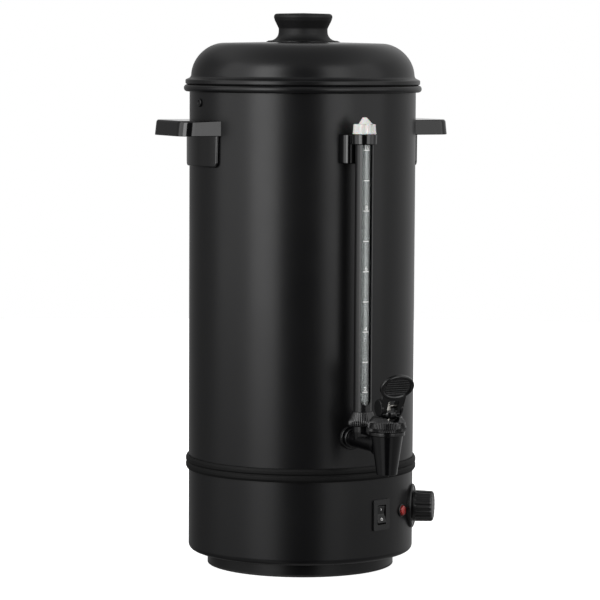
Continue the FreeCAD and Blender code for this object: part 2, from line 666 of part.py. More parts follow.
def tap_lever():
    """Forked lever with a dished, ribbed thumb pad."""
    front = LEVER_FOOT_Y - 1.35
    rear = LEVER_FOOT_Y + 1.4
    pad_z = LEVER_FOOT_Z + PAD_UP

    def oval(half_w, half_l, y0, y1):
        curve = Part.Ellipse(Vector(0, 0, 0), half_w, half_l).toShape()
        face = Part.Face(Part.Wire(curve))
        solid = face.extrude(Vector(0, 0, y1 - y0))
        solid.rotate(Vector(0, 0, 0), ALONG_X, 90)
        solid.translate(Vector(0, y1, pad_z))
        return solid

    def web_face(x, z):
        return Vector(x, rear, z)

    foot_half = LEVER_HALF - 0.3
    foot_low = LEVER_FOOT_Z - 1.8
    web = Part.Face(outline([(-foot_half, foot_low, 1.5), (foot_half, foot_low, 1.5),
                             (LEVER_HALF, pad_z - 6, 0), (-LEVER_HALF, pad_z - 6, 0)], web_face))
    web = web.extrude(Vector(0, front - rear, 0))
    window = Part.Face(outline([(-5.25, LEVER_FOOT_Z + 2.6, 2), (5.25, LEVER_FOOT_Z + 2.6, 2),
                                (5.25, LEVER_FOOT_Z + 14.4, 2), (-5.25, LEVER_FOOT_Z + 14.4, 2)], web_face))
    window = window.extrude(Vector(0, 2 * (front - rear), 0))
    window.translate(Vector(0, 2, 0))
    pad = oval(PAD_HALF_W, PAD_HALF_L, front - 0.9, rear + 0.4)
    pad = pad.makeFillet(1.1, [edge for edge in pad.Edges if edge.Length > 20 and len(edge.Vertexes) == 1])
    dish = oval(PAD_HALF_W - 2.4, PAD_HALF_L - 2.4, front - 2, front + 0.4)
    ribs = []
    for k in range(PAD_RIBS):
        z = pad_z + RIB_PITCH * (k - (PAD_RIBS - 1) / 2)
        reach = (PAD_HALF_W - 4.4) * math.sqrt(1 - ((z - pad_z) / (PAD_HALF_L - 2)) ** 2)
        ribs.append(bar_x(0.45, -reach, reach, front + 0.4, z))
    cross = bar_x(1.7, -LEVER_HALF + 0.9, LEVER_HALF - 0.9, LEVER_FOOT_Y, LEVER_FOOT_Z)
    struts = [block(x, x + CHEEK_T, front, rear + 5.5, LEVER_FOOT_Z - 1, LEVER_FOOT_Z + 14.5)
              for x in (-LEVER_HALF, LEVER_HALF - CHEEK_T)]
    spoon = fused(web, pad, cross, *struts).cut([window, dish])
    spoon = fused(spoon, *ribs)
    spoon.rotate(Vector(0, LEVER_FOOT_Y, LEVER_FOOT_Z), ALONG_X, LEVER_LEAN)
    cheek_y = TAP_Y - 3.5
    cheeks = [bar_x(7.8, x, x + CHEEK_T, cheek_y, PIN_Z) for x in (-LEVER_HALF, LEVER_HALF - CHEEK_T)]
    heel = Part.makeSphere(6.8, Vector(0, TAP_Y - 4.6, LEVER_FOOT_Z + 0.1))
    heel = heel.cut(block(-10, 10, TAP_Y - 20, TAP_Y + 10, LEVER_FOOT_Z + 1.6, LEVER_FOOT_Z + 10))
    lever = fused(spoon, *cheeks, heel)
    room = STEM_R + 0.35
    tang_room = block(-room, room, TAP_Y - TANG_HALF - 0.35, TAP_Y + 12, TANG_LOW_Z - 1, PIN_Z)
    tang_room.rotate(Vector(0, TAP_Y, PIN_Z), ALONG_X, -LEVER_TRAVEL)
    stem_room = block(-room, room, TAP_Y - room, TAP_Y + 12, 140, TANG_LOW_Z + 0.3)
    stem_room.rotate(Vector(0, TAP_Y, PIN_Z), ALONG_X, -LEVER_TRAVEL)
    rest_room = block(-room, room, TAP_Y - 5.8, TAP_Y + 12, 140, PIN_Z + 6)
    pin_hole = bar_x(PIN_R + 0.06, -PIN_HALF - 0.1, PIN_HALF + 0.1, TAP_Y, PIN_Z)
    return lever.cut([tang_room, stem_room, rest_room, pin_hole])


def trimmed_flange(half_w, half_h, front, corner, hole=None):
    """Moulded flange drawn along +X, its back shaped to the round skirt."""
    body = slab([(-half_w, -half_h, corner), (half_w, -half_h, corner),
                 (half_w, half_h, corner), (-half_w, half_h, corner)], 98, front)
    trim = post(SKIRT_R + 0.05, -60, 60)
    body = body.cut(trim)
    return body if hole is None else body.cut(hole)


def dial_bezel():
    """Round plate behind the dial."""
    disc = bar_x(BEZEL_R, 98, BEZEL_FRONT, 0, 0)
    ridge = bar_x(BEZEL_R - 1.2, 98, BEZEL_FRONT + 0.5, 0, 0).cut(bar_x(BEZEL_R - 2.6, 90, 120, 0, 0))
    body = fused(disc, ridge).cut([post(SKIRT_R + 0.05, -60, 60), bar_x(8.6, 90, 120, 0, 0)])
    return on_side(body, DIAL_TURN, CONTROL_Z)


def dial_knob():
    """Round control knob with a grip bar, a pointer and a bore for its shaft."""
    base = 110.5
    skirt = turned([(0, base, 0), (DIAL_R, base, 0.5), (DIAL_R - 0.5, DIAL_FRONT - 1.2, 2.4),
                    (0, DIAL_FRONT, 0)])
    skirt.rotate(Vector(0, 0, 0), ALONG_Y, 90)
    flute = bar_x(1.3, base + 3, DIAL_FRONT + 1, 0, DIAL_R + 0.6)
    flutes = []
    for k in range(18):
        copy = flute.copy()
        copy.rotate(Vector(0, 0, 0), ALONG_X, 10 + 20 * k)
        flutes.append(copy)
    pointer = block(DIAL_FRONT - 1.2, DIAL_FRONT + 3, -0.6, 0.6, 4.5, 12.2)
    bore = bar_x(3.05, base - 5, base + 14, 0, 0)
    hollow = bar_x(10.2, base - 5, base + 1.2, 0, 0)
    return on_side(skirt.cut(flutes + [pointer, bore, hollow]), DIAL_TURN, CONTROL_Z)


def dial_shaft():
    """Shaft from the regulator to the dial."""
    return on_side(bar_x(3.0, 88, 124, 0, 0), DIAL_TURN, CONTROL_Z)


def heat_regulator():
    """Regulator behind the skirt, with its threaded bush through the wall."""
    case = slab([(-19, -17, 2), (19, -17, 2), (19, 17, 2), (-19, 17, 2)], 66, 94)
    bush = bar_x(4.9, 93, 110.3, 0, 0)
    tabs = [block(58, 67, y - 0.4, y + 0.4, -11, -4.7) for y in (-12, -4, 4, 12)]
    body = fused(case, bush, *tabs).cut(bar_x(3.06, 84, 115, 0, 0))
    return on_side(body, DIAL_TURN, CONTROL_Z)


def regulator_nut():
    """Thin round nut that clamps the regulator to the skirt."""
    ring = bar_x(8.2, 107.95, 110.2, 0, 0).cut(bar_x(4.93, 100, 115, 0, 0))
    return on_side(ring, DIAL_TURN, CONTROL_Z)


def pilot_lamp():
    """Lamp with a domed lens, pushed through the skirt."""
    lens = turned([(0, 107.4, 0), (6.2, 107.4, 0), (6.2, 109.2, 0.6), (4.9, 109.2, 0), (4.6, 111.2, 1.8),
                   (0, 111.8, 0)])
    lens.rotate(Vector(0, 0, 0), ALONG_Y, 90)
    tabs = [block(76, 84, y - 0.4, y + 0.4, -2.4, 2.4) for y in (-2.4, 2.4)]
    body = fused(lens, bar_x(4.4, 83, 107.6, 0, 0), *tabs)
    rim = post(SKIRT_R + 0.05, -60, 60).cut(bar_x(4.4, 60, 120, 0, 0))
    return on_side(body.cut(rim), LAMP_TURN, CONTROL_Z)


def switch_housing():
    """Frame and case of the power switch."""
    flange = trimmed_flange(10.5, 14.5, 109.4, 1.5)
    case = block(84, 108.6, -7.4, 7.4, -10.9, 10.9)
    tabs = [block(76, 85, -3.1, 3.1, z - 0.4, z + 0.4) for z in (-5, 5)]
    well = block(99.5, 115, -5.6, 5.6, -9.2, 9.2)
    pivot = Part.makeCylinder(1.3, 20, Vector(105.5, -10, 0), ALONG_Y)
    return on_side(fused(flange, case, *tabs).cut([well, pivot]), SWITCH_TURN, CONTROL_Z)


def switch_rocker():
    """Rocker with a hollow face, at rest in its off position."""
    body = Part.Face(outline([(102.2, -7.2, 1), (109.6, -8.6, 1), (107.9, 0, 4), (109.6, 8.6, 1),
                              (102.2, 7.2, 1), (101.4, 0, 0)], lambda x, z: Vector(x, -5.3, z)))
    body = body.extrude(Vector(0, 10.6, 0))
    pins = Part.makeCylinder(1.25, 13.4, Vector(105.5, -6.7, 0), ALONG_Y)
    rocker = fused(body, pins)
    rocker.rotate(Vector(105.5, 0, 0), ALONG_Y, -ROCKER_TILT)
    return on_side(rocker, SWITCH_TURN, CONTROL_Z)


def mains_inlet():
    """Appliance inlet at the back, with a recess for the lead's connector."""
    flange = trimmed_flange(25, 11.3, 110.6, 5)
    case = slab([(-13.4, -9.9, 1), (13.4, -9.9, 1), (13.4, 9.9, 1), (-13.4, 9.9, 1)], 80, 109.8)
    recess = slab([(-12.2, -8.2, 2), (12.2, -8.2, 2), (12.2, 4, 0), (8.2, 8.2, 0.5), (-8.2, 8.2, 0.5),
                   (-12.2, 4, 0)], 90, 115)
    tabs = [block(72, 81, y - 3.1, y + 3.1, z - 0.4, z + 0.4) for y, z in ((-7, -3), (7, -3), (0, 4))]
    sinks = []
    for y in (-20, 20):
        sink = turned([(0, 104, 0), (1.7, 104, 0), (1.7, 109, 0), (3.4, 110.7, 0), (3.4, 114, 0),
                       (0, 114, 0)])
        sink.rotate(Vector(0, 0, 0), ALONG_Y, 90)
        sink.translate(Vector(0, y, 0))
        sinks.append(sink)
    return on_side(fused(flange, case, *tabs).cut([recess] + sinks), 180, INLET_Z)


def inlet_pins():
    """Three flat blades in the inlet's recess."""
    blades = []
    for y, z in ((-7, -2), (7, -2), (0, 2)):
        blade = slab([(y - 1, z - 2, 0.3), (y + 1, z - 2, 0.3), (y + 1, z + 2, 0.3), (y - 1, z + 2, 0.3)],
                     90, 104)
        blades.append(on_side(blade, 180, INLET_Z))
    return blades


def inlet_screws():
    """Countersunk screws of the inlet with nuts behind the skirt."""
    screws = []
    for y in (-20, 20):
        screw = turned([(0, 98, 0), (1.6, 98, 0), (1.6, 109, 0), (3.2, 110.5, 0), (0, 110.5, 0)])
        slot = block(-4, 4, -0.4, 0.4, 109.9, 112)
        nut = hexagon(5.5, 101.2, 103.6)
        screw = fused(screw.cut(slot), nut)
        screw.rotate(Vector(0, 0, 0), ALONG_Y, 90)
        screw.translate(Vector(0, y, 0))
        screws.append(on_side(screw, 180, INLET_Z))
    return screws


def element_end():
    """Where the element's ring ends on the +X side, and its heading there."""
    turn = math.radians(90 - ELEMENT_LEG_TURN)
    end = Vector(ELEMENT_RING_R * math.cos(turn), ELEMENT_RING_R * math.sin(turn), ELEMENT_Z)
    return end, Vector(-math.sin(turn), math.cos(turn), 0)


def element_legs():
    """Places of the element's two legs on the tank floor."""
    end, heading = element_end()
    leg = end + heading * ELEMENT_BEND
    return [(leg.x, leg.y), (-leg.x, leg.y)]


def heating_element():
    """Ring of sheathed heating tube with two legs turned down through the floor."""
    end, heading = element_end()
    corner = end + heading * ELEMENT_BEND
    low = corner - UP * ELEMENT_BEND
    foot = Vector(corner.x, corner.y, FLOOR_Z - 14)
    centre = end - UP * ELEMENT_BEND
    middle = centre + (corner - centre).normalize() * ELEMENT_BEND

    def other(point):
        return Vector(-point.x, point.y, point.z)

    ring = Part.Arc(end, Vector(0, -ELEMENT_RING_R, ELEMENT_Z), other(end))
    path = Part.Wire([Part.LineSegment(foot, low).toShape(), Part.Arc(low, middle, end).toShape(),
                      ring.toShape(), Part.Arc(other(end), other(middle), other(low)).toShape(),
                      Part.LineSegment(other(low), other(foot)).toShape()])
    tube = tube_on(path, ELEMENT_R)
    pins = [post(1.6, FLOOR_Z - 24, FLOOR_Z - 13, x, y) for x, y in element_legs()]
    return fused(tube, *pins)


def element_bushes():
    """Flanged bushes that seal the element's legs in the floor."""
    bushes = []
    for x, y in element_legs():
        bush = turned([(ELEMENT_R + 0.05, FLOOR_Z - 8, 0), (7, FLOOR_Z - 8, 0.5), (7, FLOOR_Z, 0),
                       (10, FLOOR_Z, 0), (10, FLOOR_Z + 3, 1), (ELEMENT_R + 0.05, FLOOR_Z + 3, 0)], x, y)
        bushes.append(bush)
    return bushes


def element_nuts():
    """Hexagon nuts of the element's bushes, under the floor."""
    high = FLOOR_Z - SHEET
    return [hexagon(19, high - 4, high, x, y).cut(post(7.02, 90, 130, x, y)) for x, y in element_legs()]


def boil_dry_cutout():
    """Disc thermostat against the underside of the floor."""
    high = FLOOR_Z - SHEET
    disc = turned([(0, high - 9, 0), (9, high - 9, 0.8), (9, high - 1.5, 0), (11, high - 1.5, 0),
                   (11, high, 0), (0, high, 0)], 0, 20)
    tabs = [block(x - 3.1, x + 3.1, 19.6, 20.4, high - 18, high - 8) for x in (-5, 5)]
    return fused(disc, *tabs)


def terminal_block():
    """Terminal strip on the bottom plate, reached through the foot."""
    low = SKIRT_LOW_Z - SHEET
    body = block(-24, 24, 8, 24, low, low + 15)
    entries = [bar_y(1.9, 0, 30, x, low + 7) for x in (-18, -6, 6, 18)]
    screws = [post(2.2, low + 8, low + 20, x, 16) for x in (-18, -6, 6, 18)]
    return body.cut(entries + screws)


def base_wiring():
    """Leads between inlet, terminals, switch, regulator, cutout and element."""
    strip = SKIRT_LOW_Z - SHEET + 7
    lead_r = 1.5
    inlet_end = 71.8
    pin_end = FLOOR_Z - 24.1
    cutout_end = FLOOR_Z - SHEET - 18.1
    leg_x, leg_y = element_legs()[0]
    routes = [
        [(-7, inlet_end, 47), (-7, 60, 47), (-9, 48, 40), (-15, 38, 28), (-18, 32, strip), (-18, 20, strip)],
        [(7, inlet_end, 47), (7, 60, 47), (8, 48, 40), (7, 38, 28), (6, 32, strip), (6, 20, strip)],
        [(0, inlet_end, 54), (0, 60, 54), (6, 50, 46), (14, 41, 30), (18, 32, strip), (18, 20, strip)],
        [(-18, 12, strip), (-18, -2, strip), (-14, -16, 30), (-4, -32, 46), (8, -48, 57),
         (20.8, -60.5, 60), (24.6, -71.6, 60)],
        [(24.6, -71.6, 50), (20.8, -60.5, 49), (20, -46, 46), (28, -30, 45), (39.8, -23, 47),
         (49.6, -29.9, 47)],
        [(40.4, -43, 47), (30.6, -36.1, 49), (20, -26, 60), (8, -8, 72), (-3, 10, 80), (-5, 20, 90),
         (-5, 20, cutout_end)],
        [(5, 20, cutout_end), (5, 20, 88), (9, 30, 78), (13, 46, 76), (leg_x, leg_y, 84),
         (leg_x, leg_y, pin_end)],
        [(-leg_x, leg_y, pin_end), (-leg_x, leg_y, 82), (-17, 44, 68), (-14, 24, 54), (-6, 4, 43),
         (3, -10, 33), (6, -9, 23), (6, 0, strip), (6, 12, strip)],
    ]
    return [tube_on(smooth_path([Vector(*point) for point in route]), lead_r) for route in routes]


def lid_height(radius):
    """Height of the dome's flat crown, which falls a little towards its edge."""
    corner_r, corner_z, _ = LID_CORNER
    return LID_TOP_Z - (radius - KNOB_HOLE_R) * (LID_TOP_Z - corner_z) / (corner_r - KNOB_HOLE_R)


def lid_shell():
    """Pressed dome with a rim that rests on the bead and a lip that enters the tank."""
    corner_r, corner_z, bend = LID_CORNER
    lip_in = LIP_R - SHEET
    return turned([(KNOB_HOLE_R, LID_TOP_Z, 0), (corner_r, corner_z, bend),
                   (LID_SIDE_R, LID_RIM_Z + 4.4, 3.4), (LID_RIM_R, LID_RIM_Z + 2.5, 0.9),
                   (LID_RIM_R, LID_RIM_Z, 0.9), (LIP_R, LID_RIM_Z, 0), (LIP_R, LIP_LOW_Z, 0.5),
                   (lip_in, LIP_LOW_Z, 0.5), (lip_in, LID_RIM_Z + 4, 2),
                   (corner_r - SHEET, corner_z - SHEET, bend - SHEET), (KNOB_HOLE_R, LID_TOP_Z - SHEET, 0)])


def knob_flange():
    """Thin dished disc under the knob."""
    edge = KNOB_FLANGE_R
    return turned([(KNOB_HOLE_R, lid_height(KNOB_HOLE_R) + 0.01, 0), (edge, lid_height(edge) + 0.01, 0),
                   (edge, lid_height(edge) + KNOB_FLANGE_T, 0.3),
                   (KNOB_HOLE_R, lid_height(KNOB_HOLE_R) + KNOB_FLANGE_T, 0)])


def lid_knob():
    """Waisted knob with a flared foot and a conical head."""
    foot = 33.4
    seat = KNOB_FLANGE_T + 0.01
    return turned([(KNOB_HOLE_R, lid_height(KNOB_HOLE_R) + seat, 0), (foot, lid_height(foot) + seat, 0),
                   (foot, lid_height(foot) + 1.3, 0.2), (23.8, 502.5, 8), (23.2, 513.2, 4),
                   (28.5, 527.1, 2.5), (0, KNOB_TOP_Z, 0), (0, LID_TOP_Z + 16, 0),
                   (2.05, LID_TOP_Z + 16, 0), (2.05, lid_height(KNOB_HOLE_R) + seat, 0)])


def knob_screw():
    """Screw from under the lid into the knob."""
    under = LID_TOP_Z - SHEET - KNOB_WASHER_T
    head = turned([(0, under - 2.6, 0), (4.6, under - 2.6, 1.2), (4.6, under, 0), (0, under, 0)])
    return fused(head, post(2.0, under, LID_TOP_Z + 15)).cut(block(-4, 4, -0.6, 0.6, under - 4, under - 1.4))


def knob_washer():
    """Washer between the screw's head and the lid."""
    edge = 9.0
    low = LID_TOP_Z - SHEET - KNOB_WASHER_T
    return turned([(KNOB_HOLE_R, low, 0), (edge, low, 0.3), (edge, lid_height(edge) - SHEET - 0.01, 0),
                   (KNOB_HOLE_R, lid_height(KNOB_HOLE_R) - SHEET - 0.01, 0)])


def build():
    """Write every node."""
    os.makedirs("parts", exist_ok=True)
    right = handle_right()
    save("tank_shell", tank_shell())
    save("tank_floor", tank_floor())
    save("belt_band", belt_band())
    save("base_skirt", base_skirt())
    save("foot_ring", foot_ring())
    save("foot_edging", foot_edging())
    save("bottom_plate", bottom_plate())
    save("bottom_screws", *bottom_screws())
    save("bottom_nuts", *bottom_nuts())
    save("handle_right", right)
    save("handle_left", mirrored(right))
    save("handle_screws", *handle_screws())
    save("handle_seals", *handle_seals())
    save("rim_studs", *rim_studs())
    save("gauge_bracket", gauge_bracket())
    save("bracket_screws", *bracket_screws())
    save("bracket_seals", *bracket_seals())
    save("gauge_guard", gauge_guard())
    save("gauge_glass", gauge_glass())
    save("gauge_cap", gauge_cap())
    save("gauge_seals", *gauge_seals())
    save("gauge_nut", gauge_nut())
    save("tap_shank", tap_shank())
    save("shank_seals", *shank_seals())
    save("shank_nut", shank_nut())
    save("tap_body", tap_body())
    save("tap_bonnet", tap_bonnet())
    save("tap_stem", tap_stem())
    save("seat_cup", seat_cup())
    save("tap_spring", coil_spring(4.6, 0.6, 135.05, 154.3, 6, 0, TAP_Y))
    save("lever_pin", lever_pin())
    save("tap_lever", tap_lever())
    save("dial_bezel", dial_bezel())
    save("dial_knob", dial_knob())
    save("dial_shaft", dial_shaft())
    save("heat_regulator", heat_regulator())
    save("regulator_nut", regulator_nut())
    save("pilot_lamp", pilot_lamp())
    save("switch_housing", switch_housing())
    save("switch_rocker", switch_rocker())
    save("mains_inlet", mains_inlet())
    save("inlet_pins", *inlet_pins())
    save("inlet_screws", *inlet_screws())
    save("heating_element", heating_element())
    save("element_bushes", *element_bushes())
    save("element_nuts", *element_nuts())
    save("boil_dry_cutout", boil_dry_cutout())
    save("terminal_block", terminal_block())
    save("base_wiring", *base_wiring())
    save("lid_shell", lid_shell())
    save("knob_flange", knob_flange())
    save("lid_knob", lid_knob())
    save("knob_screw", knob_screw())
    save("knob_washer", knob_washer())


build()
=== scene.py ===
import math

import bmesh
import bpy
from bpy.props import (BoolProperty, FloatProperty, FloatVectorProperty, IntProperty,
                       PointerProperty)
from mathutils import Matrix, Vector


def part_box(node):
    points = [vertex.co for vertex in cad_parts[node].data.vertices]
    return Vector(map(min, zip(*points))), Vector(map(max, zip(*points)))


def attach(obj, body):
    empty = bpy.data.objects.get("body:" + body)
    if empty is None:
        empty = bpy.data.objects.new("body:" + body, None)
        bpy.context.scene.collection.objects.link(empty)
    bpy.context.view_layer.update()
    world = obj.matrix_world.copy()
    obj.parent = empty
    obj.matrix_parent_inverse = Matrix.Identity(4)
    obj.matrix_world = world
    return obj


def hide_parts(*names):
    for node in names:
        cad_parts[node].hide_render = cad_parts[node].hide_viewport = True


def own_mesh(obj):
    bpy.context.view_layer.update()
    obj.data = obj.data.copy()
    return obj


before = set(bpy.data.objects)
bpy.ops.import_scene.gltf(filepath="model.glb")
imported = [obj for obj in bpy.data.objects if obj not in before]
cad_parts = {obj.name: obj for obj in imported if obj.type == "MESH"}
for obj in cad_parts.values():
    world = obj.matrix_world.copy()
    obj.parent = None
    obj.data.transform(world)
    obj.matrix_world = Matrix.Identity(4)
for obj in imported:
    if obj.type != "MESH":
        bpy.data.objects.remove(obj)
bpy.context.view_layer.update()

# The finish of a ten litre hot water urn: coated tank, lid and base, glossy handles,
# sight gauge, lever tap and controls. Shapes are drawn in millimetres in the frame of
# the construction: +Z up on the tank's axis, the tap and gauge towards -Y.

bl_info = {
    "name": "Hot water urn",
    "version": (1, 0, 0),
    "blender": (4, 5, 0),
    "location": "View3D > Sidebar > Urn",
    "description": "Finished pieces, materials and studio for a hot water urn",
    "category": "Object",
}

MM = 0.001
UP = Vector((0, 0, 1))
# A rounded corner's steps turn and run no further than this, in millimetres
CORNER_TURN = math.radians(11)
CORNER_RUN = 1.6
# Corners nearer than this are one, in millimetres
MERGE = 0.0005
# Edges that turn more than this are shaded sharp, or are the ones to round
SHARP = math.radians(38)
SOFT_FROM = math.radians(50)

# Places and sizes that the pieces share with the construction, in millimetres
KNOB_HOLE = 2.4
CROWN_FALL = 2.4 / 100.9  # of the lid's crown, for each millimetre of radius
LIP_DEPTH = 9.25
WALL_FIT = 108.15
SKIRT_FIT = 107.95
SHELF_HEIGHT = 14.5
SHELF_WALL = 3.0
SHELF_DRAFT = 0.09
HANDLE_BEND = 13.0
CROWN_BEND = 2.4
BOSS_Z = 418.0
PLATE_SHEET = 3.05
GAUGE_Y = -132.0
GLASS_R = 5.5
FLUTE_TURN = math.pi
CAP_LEAN = Vector((0.4, -1.4, 0))
DIGIT_SHARE = 0.69  # of the font's size, a digit's height
TAP_Y = -182.0
SHANK_Z = 134.0
PIN_Z = 170.6
LEVER_FOOT = Vector((0, -188.6, 164.9))
LEVER_LEAN = math.radians(25.4)
LEVER_TRAVEL = math.radians(30)
CHEEK = 2.7
CONTROL_Z = 58.0
DIAL_TURN = math.radians(55)
LAMP_TURN = math.radians(37)
SWITCH_TURN = math.radians(19)
ROCKER_TILT = math.radians(7)
ROCKER_PIVOT = 105.5

# Softboxes as (turn from the camera, width as a turn, light), in degrees
SOFTBOXES = ((-38, 27, 3.5), (-72, 40, 1.0), (36, 28, 1.8), (70, 36, 0.9))
# The rest of the room as (turn from the camera, light)
ROOM = ((-180, 0.9), (-172, 0.35), (-150, 0.22), (-125, 0.18), (-105, 0.33), (-92, 0.6), (-54, 0.7),
        (-50, 1.2), (-23, 1.2), (-20, 0.04), (21, 0.04), (24, 0.8), (44, 0.8), (48, 0.5), (92, 0.6),
        (150, 0.6), (172, 0.6), (180, 0.9))


# Shapes

def span(node):
    """A node's lowest and highest corners, in millimetres."""
    low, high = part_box(node)
    return low / MM, high / MM


def settled(bm):
    """Close seams and poles, then point every face outwards."""
    bmesh.ops.remove_doubles(bm, verts=bm.verts, dist=MERGE)
    bmesh.ops.dissolve_degenerate(bm, edges=bm.edges, dist=MERGE)
    bmesh.ops.recalc_face_normals(bm, faces=bm.faces)
    return bm


def draw(bm, points, place, closed=True):
    """Wire through (a, b, bend) points, its corners rounded; place turns a, b into a vector."""
    corners = [bm.verts.new(place(a, b)) for a, b, _ in points]
    count = len(corners)
    for k in range(count if closed else count - 1):
        bm.edges.new((corners[k], corners[(k + 1) % count]))
    places = [corner.co.copy() for corner in corners]
    for k, (_, _, bend) in enumerate(points):
        if bend > 0:
            back = places[k - 1] - places[k]
            ahead = places[(k + 1) % count] - places[k]
            turn = math.pi - back.angle(ahead)
            steps = max(2, math.ceil(turn / CORNER_TURN), math.ceil(bend * turn / CORNER_RUN))
            bmesh.ops.bevel(bm, geom=[corners[k]], offset=bend * math.tan(turn / 2),
                            offset_type="OFFSET", segments=steps, profile=0.5,
                            affect="VERTICES", clamp_overlap=False, material=-1)


def turned(points, steps, x=0.0, y=0.0):
    """Outline of (r, z, bend) points spun about an upright axis at x, y."""
    bm = bmesh.new()
    closed = all(r > 0 for r, _, _ in points)
    draw(bm, points, lambda r, z: Vector((x + r, y, z)), closed)
    bmesh.ops.spin(bm, geom=bm.verts[:] + bm.edges[:], cent=(x, y, 0), axis=UP,
                   angle=2 * math.pi, steps=steps, use_merge=True, use_duplicate=False)
    return settled(bm)


def prism(points, place, way):
    """Closed outline of (a, b, bend) points, pushed along a way."""
    bm = bmesh.new()
    draw(bm, points, place)
    face = bmesh.ops.contextual_create(bm, geom=bm.edges[:])["faces"]
    pushed = bmesh.ops.extrude_face_region(bm, geom=face)["geom"]
    bmesh.ops.translate(bm, vec=way, verts=[g for g in pushed if isinstance(g, bmesh.types.BMVert)])
    return settled(bm)


def moved(bm, matrix):
    """Turn or shift a whole shape."""
    bmesh.ops.transform(bm, matrix=matrix, verts=bm.verts)
    return bm


def on_side(bm, turn, z):
    """Move a shape drawn along +X from the tank's axis to a turn from the front and a height."""
    return moved(bm, Matrix.Translation((0, 0, z)) @ Matrix.Rotation(turn - math.pi / 2, 4, "Z"))


def meshed(bm, name="part"):
    """A mesh of a shape, which is used up."""
    mesh = bpy.data.meshes.new(name)
    bm.to_mesh(mesh)
    bm.free()
    return mesh


def joined(*shapes):
    """One bmesh holding several shapes, each closed by itself."""
    whole = bmesh.new()
    for shape in shapes:
        mesh = meshed(shape)
        whole.from_mesh(mesh)
        bpy.data.meshes.remove(mesh)
    return whole


def evaluated(holder):
    """The shape of an object with its modifiers or its curve applied."""
    graph = bpy.context.evaluated_depsgraph_get()
    mesh = bpy.data.meshes.new_from_object(holder.evaluated_get(graph))
    bm = bmesh.new()
    bm.from_mesh(mesh)
    bpy.data.meshes.remove(mesh)
    return bm


def combined(base, operation, *others):
    """A base shape united with, or cut by, other closed shapes."""
    holders = []
    for bm in (base,) + others:
        holders.append(bpy.data.objects.new("part", meshed(bm)))
        bpy.context.scene.collection.objects.link(holders[-1])
    for tool in holders[1:]:
        step = holders[0].modifiers.new("step", "BOOLEAN")
        step.operation = operation
        step.solver = "EXACT"
        step.object = tool
    result = evaluated(holders[0])
    for holder in holders:
        bpy.data.meshes.remove(holder.data)
    return result


def fluted(bm, x, y, count, within, press, phase=0.0):
    """Press grooves round an upright axis into the skin outside a radius, press(z) deep."""
    for vert in bm.verts:
        reach = math.hypot(vert.co.x - x, vert.co.y - y)
        depth = press(vert.co.z) if reach > within else 0
        if depth > 0:
            turn = math.atan2(vert.co.y - y, vert.co.x - x)
            scale = 1 - depth * (0.5 + 0.5 * math.cos(count * turn + phase)) ** 2 / reach
            vert.co.x = x + (vert.co.x - x) * scale
            vert.co.y = y + (vert.co.y - y) * scale
    return bm


def softened(bm, width, segments, chosen=None):
    """Round the sharp edges, or those for which chosen(edge) holds."""
    edges = [edge for edge in bm.edges if edge.is_manifold and
             (chosen(edge) if chosen else edge.calc_face_angle() > SOFT_FROM)]
    bmesh.ops.bevel(bm, geom=edges, offset=width, offset_type="OFFSET", segments=segments,
                    profile=0.5, affect="EDGES", clamp_overlap=True, material=-1)
    return bm


def level_with(edge, z):
    """Whether an edge lies in the level plane at a height."""
    return all(abs(vert.co.z - z) < 0.01 for vert in edge.verts)


def sliced(bm, step, low, high):
    """Cut a shape across X at even steps, so that it can be bent."""
    x = low + step
    while x < high:
        bmesh.ops.bisect_plane(bm, geom=bm.verts[:] + bm.edges[:] + bm.faces[:], dist=0.0001,
                               plane_co=(x, 0, 0), plane_no=(1, 0, 0))
        x += step
    return bm


def bent(bm, radius, y):
    """Wrap a flat shape that faces the front round an upright axis at y."""
    for vert in bm.verts:
        turn = vert.co.x / radius
        reach = radius - vert.co.y
        vert.co.x = reach * math.sin(turn)
        vert.co.y = y - reach * math.cos(turn)
    return bm


def copied(node):
    """A node's construction shape as one closed mesh, its flat faces whole."""
    bm = bmesh.new()
    bm.from_mesh(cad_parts[node].data)
    moved(bm, Matrix.Scale(1 / MM, 4))
    bmesh.ops.remove_doubles(bm, verts=bm.verts, dist=MERGE)
    bmesh.ops.dissolve_limit(bm, angle_limit=math.radians(0.5), verts=bm.verts, edges=bm.edges)
    return bm


def cylinder(radius, low, high, steps=96):
    """Upright round bar on the Z axis."""
    bm = bmesh.new()
    bmesh.ops.create_cone(bm, cap_ends=True, segments=steps, radius1=radius, radius2=radius,
                          depth=high - low, matrix=Matrix.Translation((0, 0, (low + high) / 2)))
    return bm


def cuboid(low, high):
    """Box between two corners."""
    low, high = Vector(low), Vector(high)
    bm = bmesh.new()
    bmesh.ops.create_cube(bm, size=1, matrix=Matrix.Translation((low + high) / 2)
                          @ Matrix.Diagonal((*(high - low), 1)))
    return bm


ALONG_X = Matrix.Rotation(math.pi / 2, 4, "Y")
ALONG_Y = Matrix.Rotation(-math.pi / 2, 4, "X")
LAID_FORWARD = Matrix.Rotation(math.pi / 2, 4, "X")


def piece(name, bm, body, slot, materials, *nodes):
    """A finished piece from a shape in millimetres, riding on its body."""
    mesh = meshed(moved(bm, Matrix.Scale(MM, 4)), name)
    mesh.polygons.foreach_set("use_smooth", [True] * len(mesh.polygons))
    mesh.set_sharp_from_angle(angle=SHARP)
    obj = bpy.data.objects.new(name, mesh)
    flat = obj.modifiers.new("flat_faces", "WEIGHTED_NORMAL")
    flat.keep_sharp = True
    bpy.context.scene.collection.objects.link(obj)
    for material in materials:
        mesh.materials.append(material)
    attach(obj, body)
    if nodes:
        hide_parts(*nodes)
    return obj


def dress(material, *nodes):
    """Give construction nodes their material."""
    for node in nodes:
        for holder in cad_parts[node].material_slots:
            holder.link = "OBJECT"
            holder.material = material


# Materials

